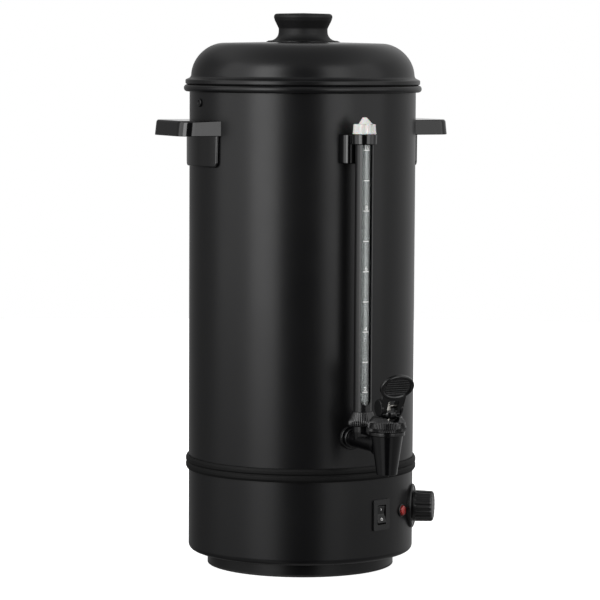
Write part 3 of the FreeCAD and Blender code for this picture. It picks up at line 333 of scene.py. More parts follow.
def linear(code):
    """Linear colour of an sRGB hex value."""
    parts = [int(code[k:k + 2], 16) / 255 for k in (0, 2, 4)]
    return tuple(c / 12.92 if c <= 0.04045 else ((c + 0.055) / 1.055) ** 2.4 for c in parts)


def fed(node, sockets):
    """Set each input of a node, or link it to a socket or to another node's first output."""
    for name, value in sockets.items():
        if isinstance(value, bpy.types.Node):
            value = value.outputs[0]
        if isinstance(value, bpy.types.NodeSocket):
            node.id_data.links.new(value, node.inputs[name])
        else:
            node.inputs[name].default_value = value


def add(tree, kind, sockets=None, **settings):
    """A shader node with its settings, and each input set or linked."""
    node = tree.nodes.new("ShaderNode" + kind)
    for name, value in settings.items():
        setattr(node, name, value)
    fed(node, sockets or {})
    return node


def surface(name):
    """Make a function's material once, under this name, and find it again after that.

    The function adds its patterns, which read place, the object coordinates, and returns
    the material's colour and the other inputs of its shader.
    """
    def named(patterns):
        def material(finish):
            if name in bpy.data.materials:
                return bpy.data.materials[name]
            made = bpy.data.materials.new(name)
            made.use_nodes = True
            tree = made.node_tree
            place = add(tree, "TexCoord").outputs["Object"]
            colour, sockets = patterns(finish, tree, place)
            made.diffuse_color = (*colour, 1)
            shader = tree.nodes["Principled BSDF"]
            shader.inputs["Base Color"].default_value = (*colour, 1)
            fed(shader, sockets)
            return made
        return material
    return named


# Most values of a noise lie in this part of its range
SPREAD = {"From Min": 0.3, "From Max": 0.7}


@surface("satin_black_powder_coat")
def powder_coat(finish, tree, place):
    """Satin black polyester powder coat, sprayed and oven cured.

    It gives the eye a deep even black with broad soft highlights and, close to, a fine
    orange peel with cells of a millimetre or two.
    """
    cells = add(tree, "TexNoise", {"Vector": place, "Scale": 1 / finish.peel_size, "Detail": 2.0,
                                   "Roughness": 0.45})
    peel = add(tree, "Bump", {"Height": cells, "Strength": 0.35, "Distance": 0.00004})
    grit = add(tree, "TexNoise", {"Vector": place, "Scale": 1 / finish.coat_grit, "Detail": 1.0})
    skin = add(tree, "Bump", {"Height": grit, "Strength": 0.3, "Distance": 0.00002, "Normal": peel})
    drift = add(tree, "TexNoise", {"Vector": place, "Scale": 1 / 0.06, "Detail": 2.0})
    gloss = add(tree, "MapRange", {"Value": drift, **SPREAD, "To Min": finish.coat_roughness - 0.02,
                                   "To Max": finish.coat_roughness + 0.02})
    return finish.coat, {"Specular IOR Level": 0.3, "Normal": skin, "Roughness": gloss}


@surface("polished_stainless_sheet")
def stainless_sheet(finish, tree, place):
    """Stainless steel sheet, cold rolled and polished on the turning tank.

    It gives the eye a warm light grey mirror, drawn out by fine level scratches.
    """
    level = add(tree, "Mapping", {"Vector": place, "Scale": (1.0, 1.0, 40.0)})
    lines = add(tree, "TexNoise", {"Vector": level, "Scale": 1 / 0.02, "Detail": 4.0,
                                   "Roughness": 0.6})
    bump = add(tree, "Bump", {"Height": lines, "Strength": 0.2, "Distance": 0.00003})
    gloss = add(tree, "MapRange", {"Value": lines, "From Min": 0.25, "From Max": 0.75,
                                   "To Min": 0.2, "To Max": 0.36})
    return finish.stainless, {"Metallic": 1.0, "Normal": bump, "Roughness": gloss}


@surface("zinc_plated_steel")
def zinc_plate(finish, tree, place):
    """Zinc plated steel of the small fasteners, barrel plated and passivated.

    It gives the eye a bluish grey metal, a little cloudy from piece to piece.
    """
    cloud = add(tree, "TexNoise", {"Vector": place, "Scale": 1 / 0.002, "Detail": 3.0})
    gloss = add(tree, "MapRange", {"Value": cloud, **SPREAD, "To Min": 0.28, "To Max": 0.45})
    return finish.zinc, {"Metallic": 1.0, "Roughness": gloss}


@surface("glossy_black_abs")
def gloss_moulding(finish, tree, place):
    """Glossy black ABS, injection moulded in polished tools.

    It gives the eye a near mirror black whose reflections waver a little along the flow
    of the plastic, with faint wiping marks in the gloss.
    """
    flow = add(tree, "TexNoise", {"Vector": place, "Scale": 1 / 0.012, "Detail": 1.0})
    bump = add(tree, "Bump", {"Height": flow, "Strength": 0.25, "Distance": 0.0001})
    wipe = add(tree, "TexNoise", {"Vector": place, "Scale": 1 / 0.005, "Detail": 5.0,
                                  "Distortion": 0.6})
    gloss = add(tree, "MapRange", {"Value": wipe, "From Min": 0.35, "From Max": 0.7,
                                   "To Min": 0.07, "To Max": 0.13})
    return finish.gloss, {"IOR": 1.53, "Normal": bump, "Roughness": gloss}


@surface("semi_gloss_black_acetal")
def tap_moulding(finish, tree, place):
    """Black acetal of the tap and its lever, moulded in blasted and then polished tools.

    It gives the eye a glossy black, softer than the handles, with a faint waviness.
    """
    flow = add(tree, "TexNoise", {"Vector": place, "Scale": 1 / 0.004, "Detail": 2.0})
    bump = add(tree, "Bump", {"Height": flow, "Strength": 0.25, "Distance": 0.00005})
    gloss = add(tree, "MapRange", {"Value": flow, **SPREAD, "To Min": 0.14, "To Max": 0.2})
    return finish.gloss, {"IOR": 1.48, "Normal": bump, "Roughness": gloss}


@surface("matt_black_pvc")
def belt_moulding(finish, tree, place):
    """Black PVC band over the seam of tank and base, extruded and drawn tight.

    It gives the eye a soft matt black that stays the same from side to side.
    """
    drawn = add(tree, "Mapping", {"Vector": place, "Scale": (1.0, 1.0, 12.0)})
    lines = add(tree, "TexNoise", {"Vector": drawn, "Scale": 1 / 0.006, "Detail": 3.0})
    bump = add(tree, "Bump", {"Height": lines, "Strength": 0.2, "Distance": 0.00005})
    gloss = add(tree, "MapRange", {"Value": lines, **SPREAD, "To Min": 0.52, "To Max": 0.6})
    return finish.band, {"Specular IOR Level": 0.15, "Normal": bump, "Roughness": gloss}


@surface("satin_black_nylon")
def satin_moulding(finish, tree, place):
    """Black glass filled nylon, moulded in spark eroded tools.

    It gives the eye a satin black with a fine even grain of a third of a millimetre.
    """
    grain = add(tree, "TexNoise", {"Vector": place, "Scale": 1 / finish.moulding_grain,
                                   "Detail": 2.0})
    bump = add(tree, "Bump", {"Height": grain, "Strength": 0.25, "Distance": 0.00003})
    gloss = add(tree, "MapRange", {"Value": grain, **SPREAD, "To Min": 0.24, "To Max": 0.34})
    return finish.moulding, {"IOR": 1.53, "Normal": bump, "Roughness": gloss}


@surface("matt_black_phenolic")
def knob_moulding(finish, tree, place):
    """Black phenolic of the lid's knob, compression moulded.

    It gives the eye a dull dark grey black with a faint mottle, duller than the handles.
    """
    mottle = add(tree, "TexNoise", {"Vector": place, "Scale": 1 / 0.0016, "Detail": 4.0})
    bump = add(tree, "Bump", {"Height": mottle, "Strength": 0.2, "Distance": 0.00003})
    gloss = add(tree, "MapRange", {"Value": mottle, **SPREAD, "To Min": 0.5, "To Max": 0.6})
    return finish.moulding, {"Specular IOR Level": 0.3, "Normal": bump, "Roughness": gloss}


@surface("borosilicate_glass")
def clear_tube(finish, tree, place):
    """Borosilicate glass tube, drawn and cut.

    It gives the eye a tube hazed by lime, with upright lines where the light turns in its wall.
    """
    drawn = add(tree, "Mapping", {"Vector": place, "Scale": (1.0, 1.0, 0.05)})
    ripple = add(tree, "TexNoise", {"Vector": drawn, "Scale": 1 / 0.0015, "Detail": 1.0})
    bump = add(tree, "Bump", {"Height": ripple, "Strength": 0.02, "Distance": 0.00002})
    return finish.glass, {"IOR": 1.47, "Roughness": 0.02, "Transmission Weight": 0.82,
                          "Normal": bump}


@surface("milky_polypropylene")
def frosted_cap(finish, tree, place):
    """Frosted white polypropylene of the gauge's cap, injection moulded.

    It gives the eye a milky white that glows in its thin flutes.
    """
    cloud = add(tree, "TexNoise", {"Vector": place, "Scale": 1 / 0.003, "Detail": 3.0})
    gloss = add(tree, "MapRange", {"Value": cloud, **SPREAD, "To Min": 0.16, "To Max": 0.26})
    return finish.cap, {"IOR": 1.49, "Subsurface Weight": 0.35, "Subsurface Scale": 0.002,
                        "Transmission Weight": 0.2, "Roughness": gloss}


@surface("fired_white_enamel")
def gauge_ink(finish, tree, place):
    """White enamel print of marks and numbers, silk screened and fired.

    It gives the eye flat opaque white marks with a slightly uneven skin.
    """
    speck = add(tree, "TexNoise", {"Vector": place, "Scale": 1 / 0.0003, "Detail": 2.0})
    bump = add(tree, "Bump", {"Height": speck, "Strength": 0.2, "Distance": 0.00002})
    return finish.ink, {"Roughness": 0.4, "Normal": bump}


@surface("red_polycarbonate")
def lamp_lens(finish, tree, place):
    """Red polycarbonate lens of the pilot lamp, moulded.

    It gives the eye a small deep red dome, glossy and a little clouded.
    """
    cloud = add(tree, "TexNoise", {"Vector": place, "Scale": 1 / 0.001, "Detail": 2.0})
    gloss = add(tree, "MapRange", {"Value": cloud, **SPREAD, "To Min": 0.08, "To Max": 0.2})
    return finish.lens, {"IOR": 1.58, "Transmission Weight": 0.6, "Roughness": gloss}


@surface("black_epdm_rubber")
def rubber(finish, tree, place):
    """Black EPDM rubber of seals and edging, extruded or moulded.

    It gives the eye a dead matt black with a faint chalky bloom.
    """
    bloom = add(tree, "TexNoise", {"Vector": place, "Scale": 1 / 0.004, "Detail": 5.0})
    tone = add(tree, "MixRGB", {"Fac": bloom, "Color1": (*finish.rubber, 1),
                                "Color2": (*[2.2 * c for c in finish.rubber], 1)})
    gloss = add(tree, "MapRange", {"Value": bloom, **SPREAD, "To Min": 0.6, "To Max": 0.8})
    return finish.rubber, {"Base Color": tone, "Roughness": gloss}


@surface("turned_brass")
def brass(finish, tree, place):
    """Turned brass of pins and bushes.

    It gives the eye a yellow metal, slightly and unevenly dulled.
    """
    tarnish = add(tree, "TexNoise", {"Vector": place, "Scale": 1 / 0.003, "Detail": 4.0})
    gloss = add(tree, "MapRange", {"Value": tarnish, **SPREAD, "To Min": 0.22, "To Max": 0.4})
    return finish.brass, {"Metallic": 1.0, "Roughness": gloss}


@surface("brown_phenolic")
def phenolic(finish, tree, place):
    """Brown phenolic of terminals and thermostat cases, compression moulded.

    It gives the eye a dark brown with lighter flecks of its wood filler.
    """
    fleck = add(tree, "TexNoise", {"Vector": place, "Scale": 1 / 0.0007, "Detail": 3.0})
    share = add(tree, "MapRange", {"Value": fleck, "From Min": 0.55, "From Max": 0.7})
    tone = add(tree, "MixRGB", {"Fac": share, "Color1": (*finish.phenolic, 1),
                                "Color2": (*[2.5 * c for c in finish.phenolic], 1)})
    return finish.phenolic, {"Base Color": tone, "Roughness": 0.45}


@surface("varnished_glass_braid")
def braided_sleeve(finish, tree, place):
    """Varnished glass braid over the leads.

    It gives the eye an off white sleeve, knobbly like a tight weave.
    """
    weave = add(tree, "TexVoronoi", {"Vector": place, "Scale": 1 / 0.0008})
    bump = add(tree, "Bump", {"Height": weave, "Strength": 0.6, "Distance": 0.0002})
    return finish.sleeve, {"Roughness": 0.7, "Normal": bump}


@surface("pale_floor_lacquer")
def floor_lacquer(finish, tree, place):
    """Pale matt lacquer of the studio's floor, rolled on.

    It gives the eye an even near white that fades into the background.
    """
    haze = add(tree, "TexNoise", {"Vector": place, "Scale": 3.0})
    gloss = add(tree, "MapRange", {"Value": haze, "To Min": 0.6, "To Max": 0.8})
    return finish.floor, {"Roughness": gloss, "Emission Color": (1, 1, 1, 1),
                          "Emission Strength": 0.85}


# Settings that a user would change

class UrnFinish(bpy.types.PropertyGroup):
    """Colours and grain of the urn's materials"""
    coat: FloatVectorProperty(name="Powder coat", description="Colour of the coated steel",
                              subtype="COLOR", min=0, max=1, default=linear("0d0d0e"))
    coat_roughness: FloatProperty(name="Coat roughness", description="How satin the coat is",
                                  subtype="FACTOR", min=0, max=1, default=0.3)
    peel_size: FloatProperty(name="Orange peel", description="Width of the coat's cells",
                             unit="LENGTH", default=1.6 * MM)
    coat_grit: FloatProperty(name="Coat grit", description="Width of the coat's fine grit",
                             unit="LENGTH", default=0.45 * MM)
    gloss: FloatVectorProperty(name="Glossy plastic", description="Colour of handles and tap",
                               subtype="COLOR", min=0, max=1, default=linear("070708"))
    band: FloatVectorProperty(name="Belt", description="Colour of the band over the seam",
                              subtype="COLOR", min=0, max=1, default=linear("0b0b0b"))
    moulding: FloatVectorProperty(name="Satin plastic", description="Colour of knobs and nuts",
                                  subtype="COLOR", min=0, max=1, default=linear("0b0b0c"))
    moulding_grain: FloatProperty(name="Plastic grain", description="Width of the moulded grain",
                                  unit="LENGTH", default=0.35 * MM)
    stainless: FloatVectorProperty(name="Stainless steel", description="Colour of the bare tank",
                                   subtype="COLOR", min=0, max=1, default=linear("cbc8c2"))
    zinc: FloatVectorProperty(name="Zinc plate", description="Colour of the fasteners",
                              subtype="COLOR", min=0, max=1, default=linear("bcc0c4"))
    brass: FloatVectorProperty(name="Brass", description="Colour of pins and bushes",
                               subtype="COLOR", min=0, max=1, default=linear("c2a15a"))
    glass: FloatVectorProperty(name="Glass", description="Tint of the gauge's tube",
                               subtype="COLOR", min=0, max=1, default=linear("f4f8f7"))
    cap: FloatVectorProperty(name="Cap", description="Colour of the gauge's cap",
                             subtype="COLOR", min=0, max=1, default=linear("e9e9e6"))
    ink: FloatVectorProperty(name="Marks", description="Colour of printed marks",
                             subtype="COLOR", min=0, max=1, default=linear("f2f2f0"))
    lens: FloatVectorProperty(name="Lamp lens", description="Colour of the pilot lamp",
                              subtype="COLOR", min=0, max=1, default=linear("b5180f"))
    rubber: FloatVectorProperty(name="Rubber", description="Colour of seals and edging",
                                subtype="COLOR", min=0, max=1, default=linear("121212"))
    phenolic: FloatVectorProperty(name="Phenolic", description="Colour of terminals",
                                  subtype="COLOR", min=0, max=1, default=linear("2b1d17"))
    sleeve: FloatVectorProperty(name="Lead sleeves", description="Colour of the leads",
                                subtype="COLOR", min=0, max=1, default=linear("d9d4c4"))
    floor: FloatVectorProperty(name="Floor", description="Colour of the studio's floor",
                               subtype="COLOR", min=0, max=1, default=(0.9, 0.9, 0.9))


class UrnSizes(bpy.types.PropertyGroup):
    """Sizes of the urn's finer features"""
    shell_steps: IntProperty(name="Shell steps", description="Faces round a large shell",
                             min=48, max=360, default=192)
    small_steps: IntProperty(name="Small steps", description="Faces round a small turned piece",
                             min=24, max=240, default=128)
    litre_rise: FloatProperty(name="Litre rise", description="Height of one litre on the gauge",
                              unit="LENGTH", default=27.875 * MM)
    top_mark: FloatProperty(name="Top mark", description="Height of the ten litre mark",
                            unit="LENGTH", default=402.1 * MM)
    mark_width: FloatProperty(name="Mark width", description="Width of a gauge mark",
                              unit="LENGTH", default=6.0 * MM)
    mark_height: FloatProperty(name="Mark height", description="Height of a gauge mark",
                               unit="LENGTH", default=0.95 * MM)
    digit_height: FloatProperty(name="Digit height", description="Height of the gauge's numbers",
                                unit="LENGTH", default=4.0 * MM)


class UrnStudio(bpy.types.PropertyGroup):
    """Camera and lights round the urn"""
    camera_turn: FloatProperty(name="Camera turn", description="Camera's turn from the front",
                               subtype="ANGLE", default=math.radians(-25.5))
    camera_reach: FloatProperty(name="Camera distance", description="Level distance to the axis",
                                unit="LENGTH", default=2.878336)
    camera_height: FloatProperty(name="Camera height", description="Height above the floor",
                                 unit="LENGTH", default=0.496484)
    camera_pitch: FloatProperty(name="Camera pitch", description="How far it looks down",
                                subtype="ANGLE", default=math.radians(4.821))
    camera_yaw: FloatProperty(name="Camera yaw", description="How far it looks off the axis",
                              subtype="ANGLE", default=math.radians(0.03))
    camera_roll: FloatProperty(name="Camera roll", description="Lean of the picture",
                               subtype="ANGLE", default=math.radians(0.326))
    lens: FloatProperty(name="Lens", description="Focal length in millimetres", default=180.45)
    box_reach: FloatProperty(name="Softbox distance", description="Softboxes' distance",
                             unit="LENGTH", default=2.2)
    box_height: FloatProperty(name="Softbox height", description="Height of each softbox",
                              unit="LENGTH", default=2.2)
    box_light: FloatProperty(name="Softbox light", description="Strength of all softboxes",
                             default=1.0)
    room_light: FloatProperty(name="Room light", description="Strength of the rest of the room",
                              default=1.0)
    overhead: FloatProperty(name="Overhead light", description="Even light from above", default=0.4)
    upper_sides: FloatProperty(name="Upper side light", description="Light that is added above at "
                               "the sides", default=1.1)
    underneath: FloatProperty(name="Light from below", description="Share of the room's light that "
                              "comes from below the horizon", min=0, max=1, default=0.4)
    show_floor: BoolProperty(name="Floor", description="Show the pale floor", default=True)


# Pieces

class URN_OT_tank(bpy.types.Operator):
    """Make the tank's coated wall with its wired bead"""
    bl_idname = "urn.tank"
    bl_label = "Tank wall"

    def execute(self, context):
        finish = context.scene.urn_finish
        steps = context.scene.urn_sizes.shell_steps
        low, high = span("tank_shell")
        bore = span("tank_floor")[1].x + 0.1
        out = bore + 1.0
        bead = 3.0
        rim = high.x
        top = high.z - 1.3
        under = top - 2 * bead - 0.7
        wall = turned([(bore, low.z, 0.1), (out, low.z, 0.1), (out, under + 1.34, 0.3),
                       (out + 0.89, under, 2.9), (rim, under, 3.2), (rim, top, 3.2),
                       (rim - 2 * bead, top, 2.9), (rim - 2 * bead, under + 2.8, 0.3),
                       (bore, under + 2.2, 0.3)], steps)
        for face in wall.faces:
            middle = face.calc_center_median()
            face.material_index = int(math.hypot(middle.x, middle.y) < bore + 0.3)
        piece("tank_wall", wall, "urn_body", "powder_coat",
              [powder_coat(finish), stainless_sheet(finish)], "tank_shell")
        dress(stainless_sheet(finish), "tank_floor")
        return {"FINISHED"}


class URN_OT_base(bpy.types.Operator):
    """Make the belt, and give the base skirt, the foot ring, the bottom plate and the foot ring's
    rubber edging their materials
    """
    bl_idname = "urn.base"
    bl_label = "Base"

    def execute(self, context):
        finish = context.scene.urn_finish
        steps = context.scene.urn_sizes.shell_steps
        low, high = span("belt_band")
        out = high.x
        back = out - 2.65
        middle = (low.z + high.z) / 2
        belt = turned([(back, low.z, 0.2), (out - 1.1, low.z, 0.8), (out, low.z + 2.2, 1.5),
                       (out, middle - 1.4, 1.2), (out - 1.2, middle, 0.8), (out, middle + 1.4, 1.2),
                       (out, high.z - 2.2, 1.5), (out - 1.1, high.z, 0.8), (back, high.z, 0.2)],
                      steps)
        piece("belt_band_rolled", belt, "urn_body", "powder_coat", [belt_moulding(finish)],
              "belt_band")
        dress(powder_coat(finish), "base_skirt", "foot_ring", "bottom_plate")
        dress(rubber(finish), "foot_edging")
        return {"FINISHED"}


class URN_OT_lid(bpy.types.Operator):
    """Make the domed lid, the disc under its knob and the knob"""
    bl_idname = "urn.lid"
    bl_label = "Lid"

    def execute(self, context):
        finish = context.scene.urn_finish
        steps = context.scene.urn_sizes.shell_steps
        self.low, self.high = span("lid_shell")
        piece("lid_pressed", self.shell(steps), "lid", "powder_coat",
              [powder_coat(finish), stainless_sheet(finish)], "lid_shell")
        piece("knob_flange_pressed", self.flange(steps), "lid", "powder_coat",
              [powder_coat(finish)], "knob_flange")
        piece("lid_knob_moulded", self.knob(steps), "lid", "black_moulding",
              [knob_moulding(finish)], "lid_knob")
        dress(zinc_plate(finish), "knob_screw", "knob_washer")
        return {"FINISHED"}

    def crown(self, radius):
        """Height of the flat crown at a radius."""
        return self.high.z - (radius - KNOB_HOLE) * CROWN_FALL

    def shell(self, steps):
        rim = self.low.z + LIP_DEPTH
        out = self.high.x
        lip = out - 6.1
        shell = turned([(KNOB_HOLE, self.high.z, 0.2), (103.3, self.crown(103.3), 32),
                        (out - 5.1, rim + 6.6, 3.4), (out, rim + 4.3, 1.4), (out, rim, 1.4),
                        (lip, rim, 0.2), (lip, self.low.z, 0.5), (lip - 1.2, self.low.z, 0.5),
                        (lip - 1.2, rim + 4, 2), (102.1, self.crown(103.3) - 1.2, 30.8),
                        (KNOB_HOLE, self.high.z - 1.2, 0.2)], steps)
        for face in shell.faces:
            middle = face.calc_center_median()
            outward = face.normal.x * middle.x + face.normal.y * middle.y
            inner = math.hypot(middle.x, middle.y) < lip - 0.05
            face.material_index = int(inner and (face.normal.z < -0.05 or outward < 0))
        return shell

    def flange(self, steps):
        edge = span("knob_flange")[1].x
        low = self.crown(edge) + 0.01
        return turned([(KNOB_HOLE, self.high.z + 0.01, 0), (edge, low, 0.2),
                       (edge, low + 0.79, 0.35), (KNOB_HOLE, self.high.z + 0.8, 0)], steps)

    def knob(self, steps):
        top = span("lid_knob")[1].z
        foot = span("lid_knob")[1].x
        seat = 0.81
        bore = 2.05
        return turned([(0, self.high.z + 16, 0), (bore, self.high.z + 16, 0),
                       (bore, self.crown(KNOB_HOLE) + seat, 0.2),
                       (foot, self.crown(foot) + seat, 0.2), (foot, self.crown(foot) + 1.3, 0.3),
                       (23.8, 502.5, 8), (23.2, 513.2, 4), (27.0, top - 7.2, 1.5),
                       (27.9, top - 4.2, 2), (27.8, top - 0.7, 3), (0, top, 0)], steps)


class URN_OT_handles(bpy.types.Operator):
    """Make the two shelf handles"""
    bl_idname = "urn.handles"
    bl_label = "Handles"

    def execute(self, context):
        finish = context.scene.urn_finish
        self.low, self.high = span("handle_right")
        self.wall = context.scene.urn_sizes.shell_steps
        for name, side in (("handle_right", 1), ("handle_left", -1)):
            shape = joined(self.shelf(), self.plate(), *self.bosses())
            moved(shape, Matrix.Scale(side, 4, (1, 0, 0)))
            bmesh.ops.recalc_face_normals(shape, faces=shape.faces)
            piece(name + "_moulded", shape, "urn_body", "gloss_black", [gloss_moulding(finish)],
                  name)
        dress(powder_coat(finish), "rim_studs")
        return {"FINISHED"}

    def outline(self, inset, z):
        """Shelf's outline in plan, inside its outer one by an inset."""
        half = self.high.y - inset
        far = self.high.x - inset
        bend = HANDLE_BEND - inset
        return prism([(90, -half, 0), (far, -half, bend), (far, half, bend), (90, half, 0)],
                     lambda x, y: Vector((x, y, self.high.z - SHELF_HEIGHT)), UP * z)

    def shelf(self):
        under = self.high.z - SHELF_HEIGHT
        shelf = self.outline(0, SHELF_HEIGHT)
        pocket = self.outline(SHELF_WALL, SHELF_HEIGHT - SHELF_WALL)
        for shape in (shelf, pocket):
            for vert in shape.verts:
                if vert.co.x > 95:
                    vert.co.x -= (vert.co.z - under) * SHELF_DRAFT
        moved(pocket, Matrix.Translation((0, 0, -0.01)))
        softened(pocket, 1.2, 4, lambda edge: level_with(edge, self.high.z - SHELF_WALL - 0.01))
        for vert in pocket.verts:
            if vert.co.z < under + 0.1:
                vert.co.z -= 2
        softened(shelf, CROWN_BEND, 7, lambda edge: level_with(edge, self.high.z))
        for vert in shelf.verts:
            depth = self.high.z - vert.co.z
            if depth < CROWN_BEND + 0.1:
                share = (vert.co.x - 100) / (self.high.x - 100)
                vert.co.z = self.high.z - depth * (0.25 + 1.15 * share)
        softened(shelf, 0.6, 3, lambda edge: level_with(edge, under))
        return combined(shelf, "DIFFERENCE", pocket, cylinder(WALL_FIT, 300, 500, self.wall))

    def plate(self):
        top = self.high.z - 2.4
        half = self.high.y * 0.972
        sheet = prism([(1.2 - half, self.low.z, 5), (half - 1.2, self.low.z, 5), (half, top, 0),
                       (-half, top, 0)], lambda x, z: Vector((x, -PLATE_SHEET, z)),
                      Vector((0, PLATE_SHEET, 0)))
        softened(sheet, 1.7, 5, lambda edge: not level_with(edge, top) and
                 all(vert.co.y < 0.1 - PLATE_SHEET for vert in edge.verts))
        sliced(sheet, 2.5, -half, half)
        bent(sheet, WALL_FIT, 0)
        return moved(sheet, Matrix.Rotation(math.pi / 2, 4, "Z"))

    def bosses(self):
        shapes = []
        for y in (-22, 22):
            boss = turned([(0, 124.5, 0), (2.03, 124.5, 0), (2.03, 108.6, 0.3), (4.9, 108.6, 0.4),
                           (4.9, 127, 0.5), (0, 127, 0)], 48)
            shapes.append(moved(boss, Matrix.Translation((0, y, BOSS_Z)) @ ALONG_X))
            rib = cuboid((109, y - 1.2, BOSS_Z),
                         (127, y + 1.2, self.high.z - SHELF_WALL + 0.5))
            shapes.append(softened(rib, 0.3, 2))
        return shapes


class URN_OT_gauge(bpy.types.Operator):
    """Make the sight gauge with its marks"""
    bl_idname = "urn.gauge"
    bl_label = "Sight gauge"

    def execute(self, context):
        finish = context.scene.urn_finish
        sizes = context.scene.urn_sizes
        steps = sizes.small_steps
        piece("gauge_bracket_moulded", self.bracket(sizes.shell_steps), "urn_body", "gloss_black",
              [gloss_moulding(finish)], "gauge_bracket")
        piece("gauge_guard_tube", self.guard(steps), "urn_body", "black_moulding",
              [satin_moulding(finish)], "gauge_guard")
        glass = turned([(4, 147, 0), (GLASS_R, 147, 0.3), (GLASS_R, 412.9, 0.4), (4, 412.9, 0.4)],
                       steps, 0, GAUGE_Y)
        piece("gauge_glass_tube", glass, "urn_body", "clear_tube", [clear_tube(finish)],
              "gauge_glass")
        piece("gauge_marks", self.marks(context, sizes), "urn_body", "frosted_cap",
              [gauge_ink(finish)])
        piece("gauge_cap_moulded", self.cap(), "urn_body", "frosted_cap",
              [frosted_cap(finish)], "gauge_cap")
        piece("gauge_nut_knurled", self.nut(), "urn_body", "black_moulding",
              [satin_moulding(finish)], "gauge_nut")
        return {"FINISHED"}

    def bracket(self, steps):
        low, high = span("gauge_bracket")
        half = high.x
        top = high.z - 0.5
        body = prism([(-half, -100, 0), (-half, -122, 7), (half, -122, 7), (half, -100, 0)],
                     lambda x, y: Vector((x, y, low.z)), UP * (top - low.z))
        softened(body, 1.1, 4, lambda edge: level_with(edge, low.z) or level_with(edge, top))
        body = combined(body, "DIFFERENCE", cylinder(WALL_FIT, 300, 500, steps))
        neck = softened(cuboid((-7, -123.4, 407.2), (7, -119, high.z - 0.4)), 0.4, 2)
        collar = turned([(8.4, 407, 0.2), (11.3, 407, 0.9), (11.7, high.z, 0.6),
                         (8.4, high.z, 0.3)], 96, 0, GAUGE_Y)
        return joined(body, neck, collar)

    def guard(self, steps):
        tube = turned([(6.5, 157.2, 0.2), (8.3, 157.2, 0.2), (8.3, 416.5, 0.2), (6.5, 416.5, 0.2)],
                      steps, 0, GAUGE_Y)
        half = 5.3
        window = prism([(-half, 167, half - 0.01), (half, 167, half - 0.01), (half, 411, 0.6),
                        (-half, 411, 0.6)],
                       lambda x, z: Vector((x, GAUGE_Y - 12, z)), Vector((0, 12, 0)))
        guard = combined(tube, "DIFFERENCE", window)
        bmesh.ops.dissolve_limit(guard, angle_limit=math.radians(0.5), verts=guard.verts,
                                 edges=guard.edges)
        return softened(guard, 0.25, 2, lambda edge: edge.calc_face_angle() > SOFT_FROM and
                        all(160 < vert.co.z < 412 for vert in edge.verts))

    def marks(self, context, sizes):
        shapes = []
        for k in range(9):
            z = (sizes.top_mark - k * sizes.litre_rise) / MM
            half = sizes.mark_width / MM / 2
            rise = sizes.mark_height / MM / 2
            line = cuboid((-half, -0.12, z - rise), (half, 0.02, z + rise))
            shapes.append(softened(line, 0.05, 1))
            if k % 2 == 0:
                height = sizes.digit_height / MM
                shapes.append(self.number(context, str(10 - k), height, z + rise + 0.5))
        marks = joined(*shapes)
        sliced(marks, 0.4, -sizes.mark_width / MM, sizes.mark_width / MM)
        return bent(marks, GLASS_R, GAUGE_Y)

    @staticmethod
    def number(context, text, height, z):
        """A plain number as a closed shape, facing the front."""
        curve = bpy.data.curves.new("number", "FONT")
        curve.body = text
        curve.size = height / DIGIT_SHARE
        curve.align_x = "CENTER"
        curve.extrude = 0.05
        holder = bpy.data.objects.new("number", curve)
        context.scene.collection.objects.link(holder)
        digits = settled(evaluated(holder))
        bpy.data.curves.remove(curve)
        return moved(digits, Matrix.Translation((0, -0.05, z)) @ LAID_FORWARD)

    def cap(self):
        low = span("gauge_cap")[0].z + 2
        high = low + 9.2
        tip = span("gauge_cap")[1].z
        cap = turned([(0, low - 2, 0), (6.4, low - 2, 0.4), (6.4, low, 0), (11, low, 0.5),
                      (10.95, low + 1.2, 0.2), (10.9, low + 1.7, 0), (10.4, high, 0.9),
                      (6.6, high, 1.4), (1.9, tip, 1.2), (0, tip, 0)], 192, 0, GAUGE_Y)
        fluted(cap, 0, GAUGE_Y, 8, 9, lambda z: 1.6 if low + 1.4 < z < high + 0.1 else 0,
               FLUTE_TURN)
        for vert in cap.verts:
            if vert.co.z > high - 0.01 and math.hypot(vert.co.x, vert.co.y - GAUGE_Y) < 8.6:
                vert.co += CAP_LEAN * (tip - vert.co.z) / (tip - high)
        return cap

    def nut(self):
        low, high = span("gauge_nut")
        nut = turned([(8.9, low.z, 0), (13, low.z, 0.8), (13, low.z + 2.5, 0.8),
                      (12.5, low.z + 4.2, 0), (12.1, low.z + 5.5, 0), (9.6, high.z, 0.6),
                      (8.4, high.z, 0.2), (8.4, high.z - 3.9, 0), (5.6, high.z - 3.9, 0),
                      (5.6, low.z + 7.5, 0), (8.9, low.z + 7.5, 0)], 228, 0, GAUGE_Y)

        def press(z):
            if z < low.z + 0.5 or z > high.z - 0.5:
                return 0
            return 0.75 if z < low.z + 4.5 else 0.35
        return fluted(nut, 0, GAUGE_Y, 38, 9.3, press)


